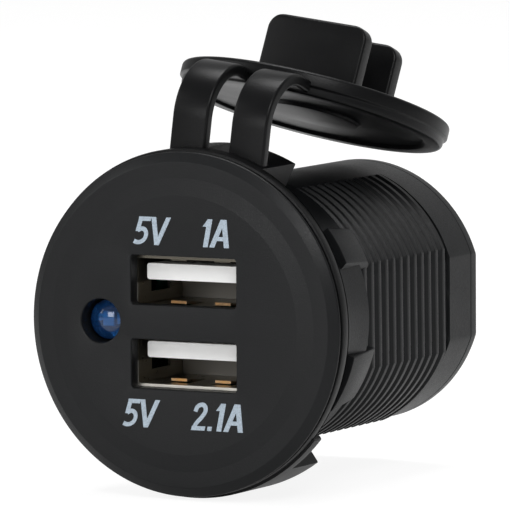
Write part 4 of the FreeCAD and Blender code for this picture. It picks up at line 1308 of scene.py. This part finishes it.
class SOCKET_OT_stage(bpy.types.Operator):
    """Sets the floor, backdrop, lights and camera"""

    bl_idname = "socket.stage"
    bl_label = "Stage"

    def execute(self, context):
        self.floor()
        self.world()
        self.lights()
        self.camera()
        view = context.scene.view_settings
        view.view_transform = "Standard"
        return {"FINISHED"}

    def floor(self):
        """A flat floor that curves up into a backdrop: the profile is a line, a quarter circle and a line."""
        level = -(BLOCK_RADIUS + sizes().floor_drop / MM)
        t = np.linspace(0, math.pi / 2, 16)
        bend = BACKDROP_BEND
        flat = np.array([(FLOOR_FRONT, level), (0.0, level)])
        curve = np.stack([BACKDROP_START + bend * np.sin(t), level + bend * (1 - np.cos(t))], -1)
        top = np.array([(BACKDROP_START + bend, BACKDROP_TOP)])
        profile = np.concatenate([flat, curve, top])
        x = np.array([-FLOOR_HALF, FLOOR_HALF])
        points = np.stack(np.broadcast_arrays(x[None, :], profile[:, :1], profile[:, 1:]), -1)
        piece = make_piece("studio_sweep", points, [grid_faces(len(profile), 2)], outwards=False)
        finish = Finish("studio_white")
        seen = self.seen(finish)
        mottle = finish.noise(60.0)
        paint = finish.mix(mottle, *FLOOR_PAINT)
        diffuse = finish.node("ShaderNodeBsdfDiffuse", Color=paint)
        keep = finish.node("ShaderNodeBsdfDiffuse", Color=FLOOR_SHADING)
        glow = finish.node("ShaderNodeEmission", Color=(1, 1, 1, 1), Strength=FLOOR_GLOW)
        bright = finish.node("ShaderNodeAddShader", i0=keep.outputs[0], i1=glow.outputs[0])
        both = finish.node("ShaderNodeMixShader", i0=seen, i1=diffuse.outputs[0], i2=bright.outputs[0])
        finish.tree.links.new(both.outputs[0], finish.output.inputs[0])
        dress(piece, finish.material)

    def seen(self, finish):
        """1 where the camera sees the surface, straight or through gloss or glass."""
        path = finish.node("ShaderNodeLightPath")
        camera = finish.value(path, "Is Camera Ray")
        glossy = finish.value(path, "Is Glossy Ray") * GLOSSY_SHARE
        return (camera + glossy + finish.value(path, "Is Transmission Ray")).clipped()

    def world(self):
        """Soft surroundings for the object, plain white where the camera sees them."""
        world = bpy.data.worlds.new("studio")
        bpy.context.scene.world = world
        world.use_nodes = True
        tree = world.node_tree
        tree.nodes.clear()
        path = tree.nodes.new("ShaderNodeLightPath")
        soft = tree.nodes.new("ShaderNodeBackground")
        soft.inputs[0].default_value = (1, 1, 1, 1)
        soft.inputs[1].default_value = WORLD_STRENGTH
        white = tree.nodes.new("ShaderNodeBackground")
        white.inputs[0].default_value = (1, 1, 1, 1)
        white.inputs[1].default_value = 1.0
        both = tree.nodes.new("ShaderNodeMixShader")
        output = tree.nodes.new("ShaderNodeOutputWorld")
        tree.links.new(path.outputs["Is Camera Ray"], both.inputs[0])
        tree.links.new(soft.outputs[0], both.inputs[1])
        tree.links.new(white.outputs[0], both.inputs[2])
        tree.links.new(both.outputs[0], output.inputs[0])

    def lights(self):
        """Large soft lamps, each aimed at the socket's middle."""
        aim = Vector(SOFTBOX_AIM) * MM
        for name, place, width, height, power in SOFTBOXES:
            lamp = bpy.data.lights.new(name + "_softbox", "AREA")
            lamp.shape = "RECTANGLE"
            lamp.size = width * MM
            lamp.size_y = height * MM
            lamp.energy = power
            holder = bpy.data.objects.new(name + "_softbox", lamp)
            bpy.context.scene.collection.objects.link(holder)
            spot = Vector(place) * MM
            holder.location = spot
            holder.rotation_euler = (aim - spot).to_track_quat("-Z", "Y").to_euler()

    def camera(self):
        """The photograph's view: aim, place, roll and a long lens."""
        data = bpy.data.cameras.new("photo_camera")
        data.sensor_width = CAMERA_SENSOR
        data.lens = CAMERA_LENS
        data.clip_start = 0.01
        data.clip_end = 20.0
        camera = bpy.data.objects.new("photo_camera", data)
        bpy.context.scene.collection.objects.link(camera)
        place = Vector(CAMERA_PLACE) * MM
        aim = Vector(CAMERA_AIM) * MM
        turn = (aim - place).to_track_quat("-Z", "Y").to_matrix().to_4x4()
        roll = Matrix.Rotation(math.radians(CAMERA_ROLL), 4, "Z")
        camera.matrix_world = Matrix.Translation(place) @ turn @ roll
        bpy.context.scene.camera = camera


class SOCKET_PT_panel(bpy.types.Panel):
    """Lists the socket's pieces in the 3D view's sidebar"""

    bl_idname = "SOCKET_PT_panel"
    bl_label = "Panel socket"
    bl_space_type = "VIEW_3D"
    bl_region_type = "UI"
    bl_category = "Socket"

    def draw(self, context):
        for operator in OPERATORS:
            self.layout.operator(operator.bl_idname)
        for group in (context.scene.socket_looks, context.scene.socket_sizes):
            for name in group.__annotations__:
                self.layout.prop(group, name)


OPERATORS = (SOCKET_OT_housing, SOCKET_OT_cover, SOCKET_OT_ports, SOCKET_OT_lamp, SOCKET_OT_ratings,
             SOCKET_OT_inside, SOCKET_OT_stage)
CLASSES = (SocketLooks, SocketSizes) + OPERATORS + (SOCKET_PT_panel,)


def register():
    for item in CLASSES:
        bpy.utils.register_class(item)
    bpy.types.Scene.socket_looks = PointerProperty(type=SocketLooks)
    bpy.types.Scene.socket_sizes = PointerProperty(type=SocketSizes)


def unregister():
    del bpy.types.Scene.socket_sizes
    del bpy.types.Scene.socket_looks
    for item in reversed(CLASSES):
        bpy.utils.unregister_class(item)


def main():
    register()
    bpy.ops.socket.housing()
    bpy.ops.socket.cover()
    bpy.ops.socket.ports()
    bpy.ops.socket.lamp()
    bpy.ops.socket.ratings()
    bpy.ops.socket.inside()
    bpy.ops.socket.stage()


if __name__ == "__main__":
    main()
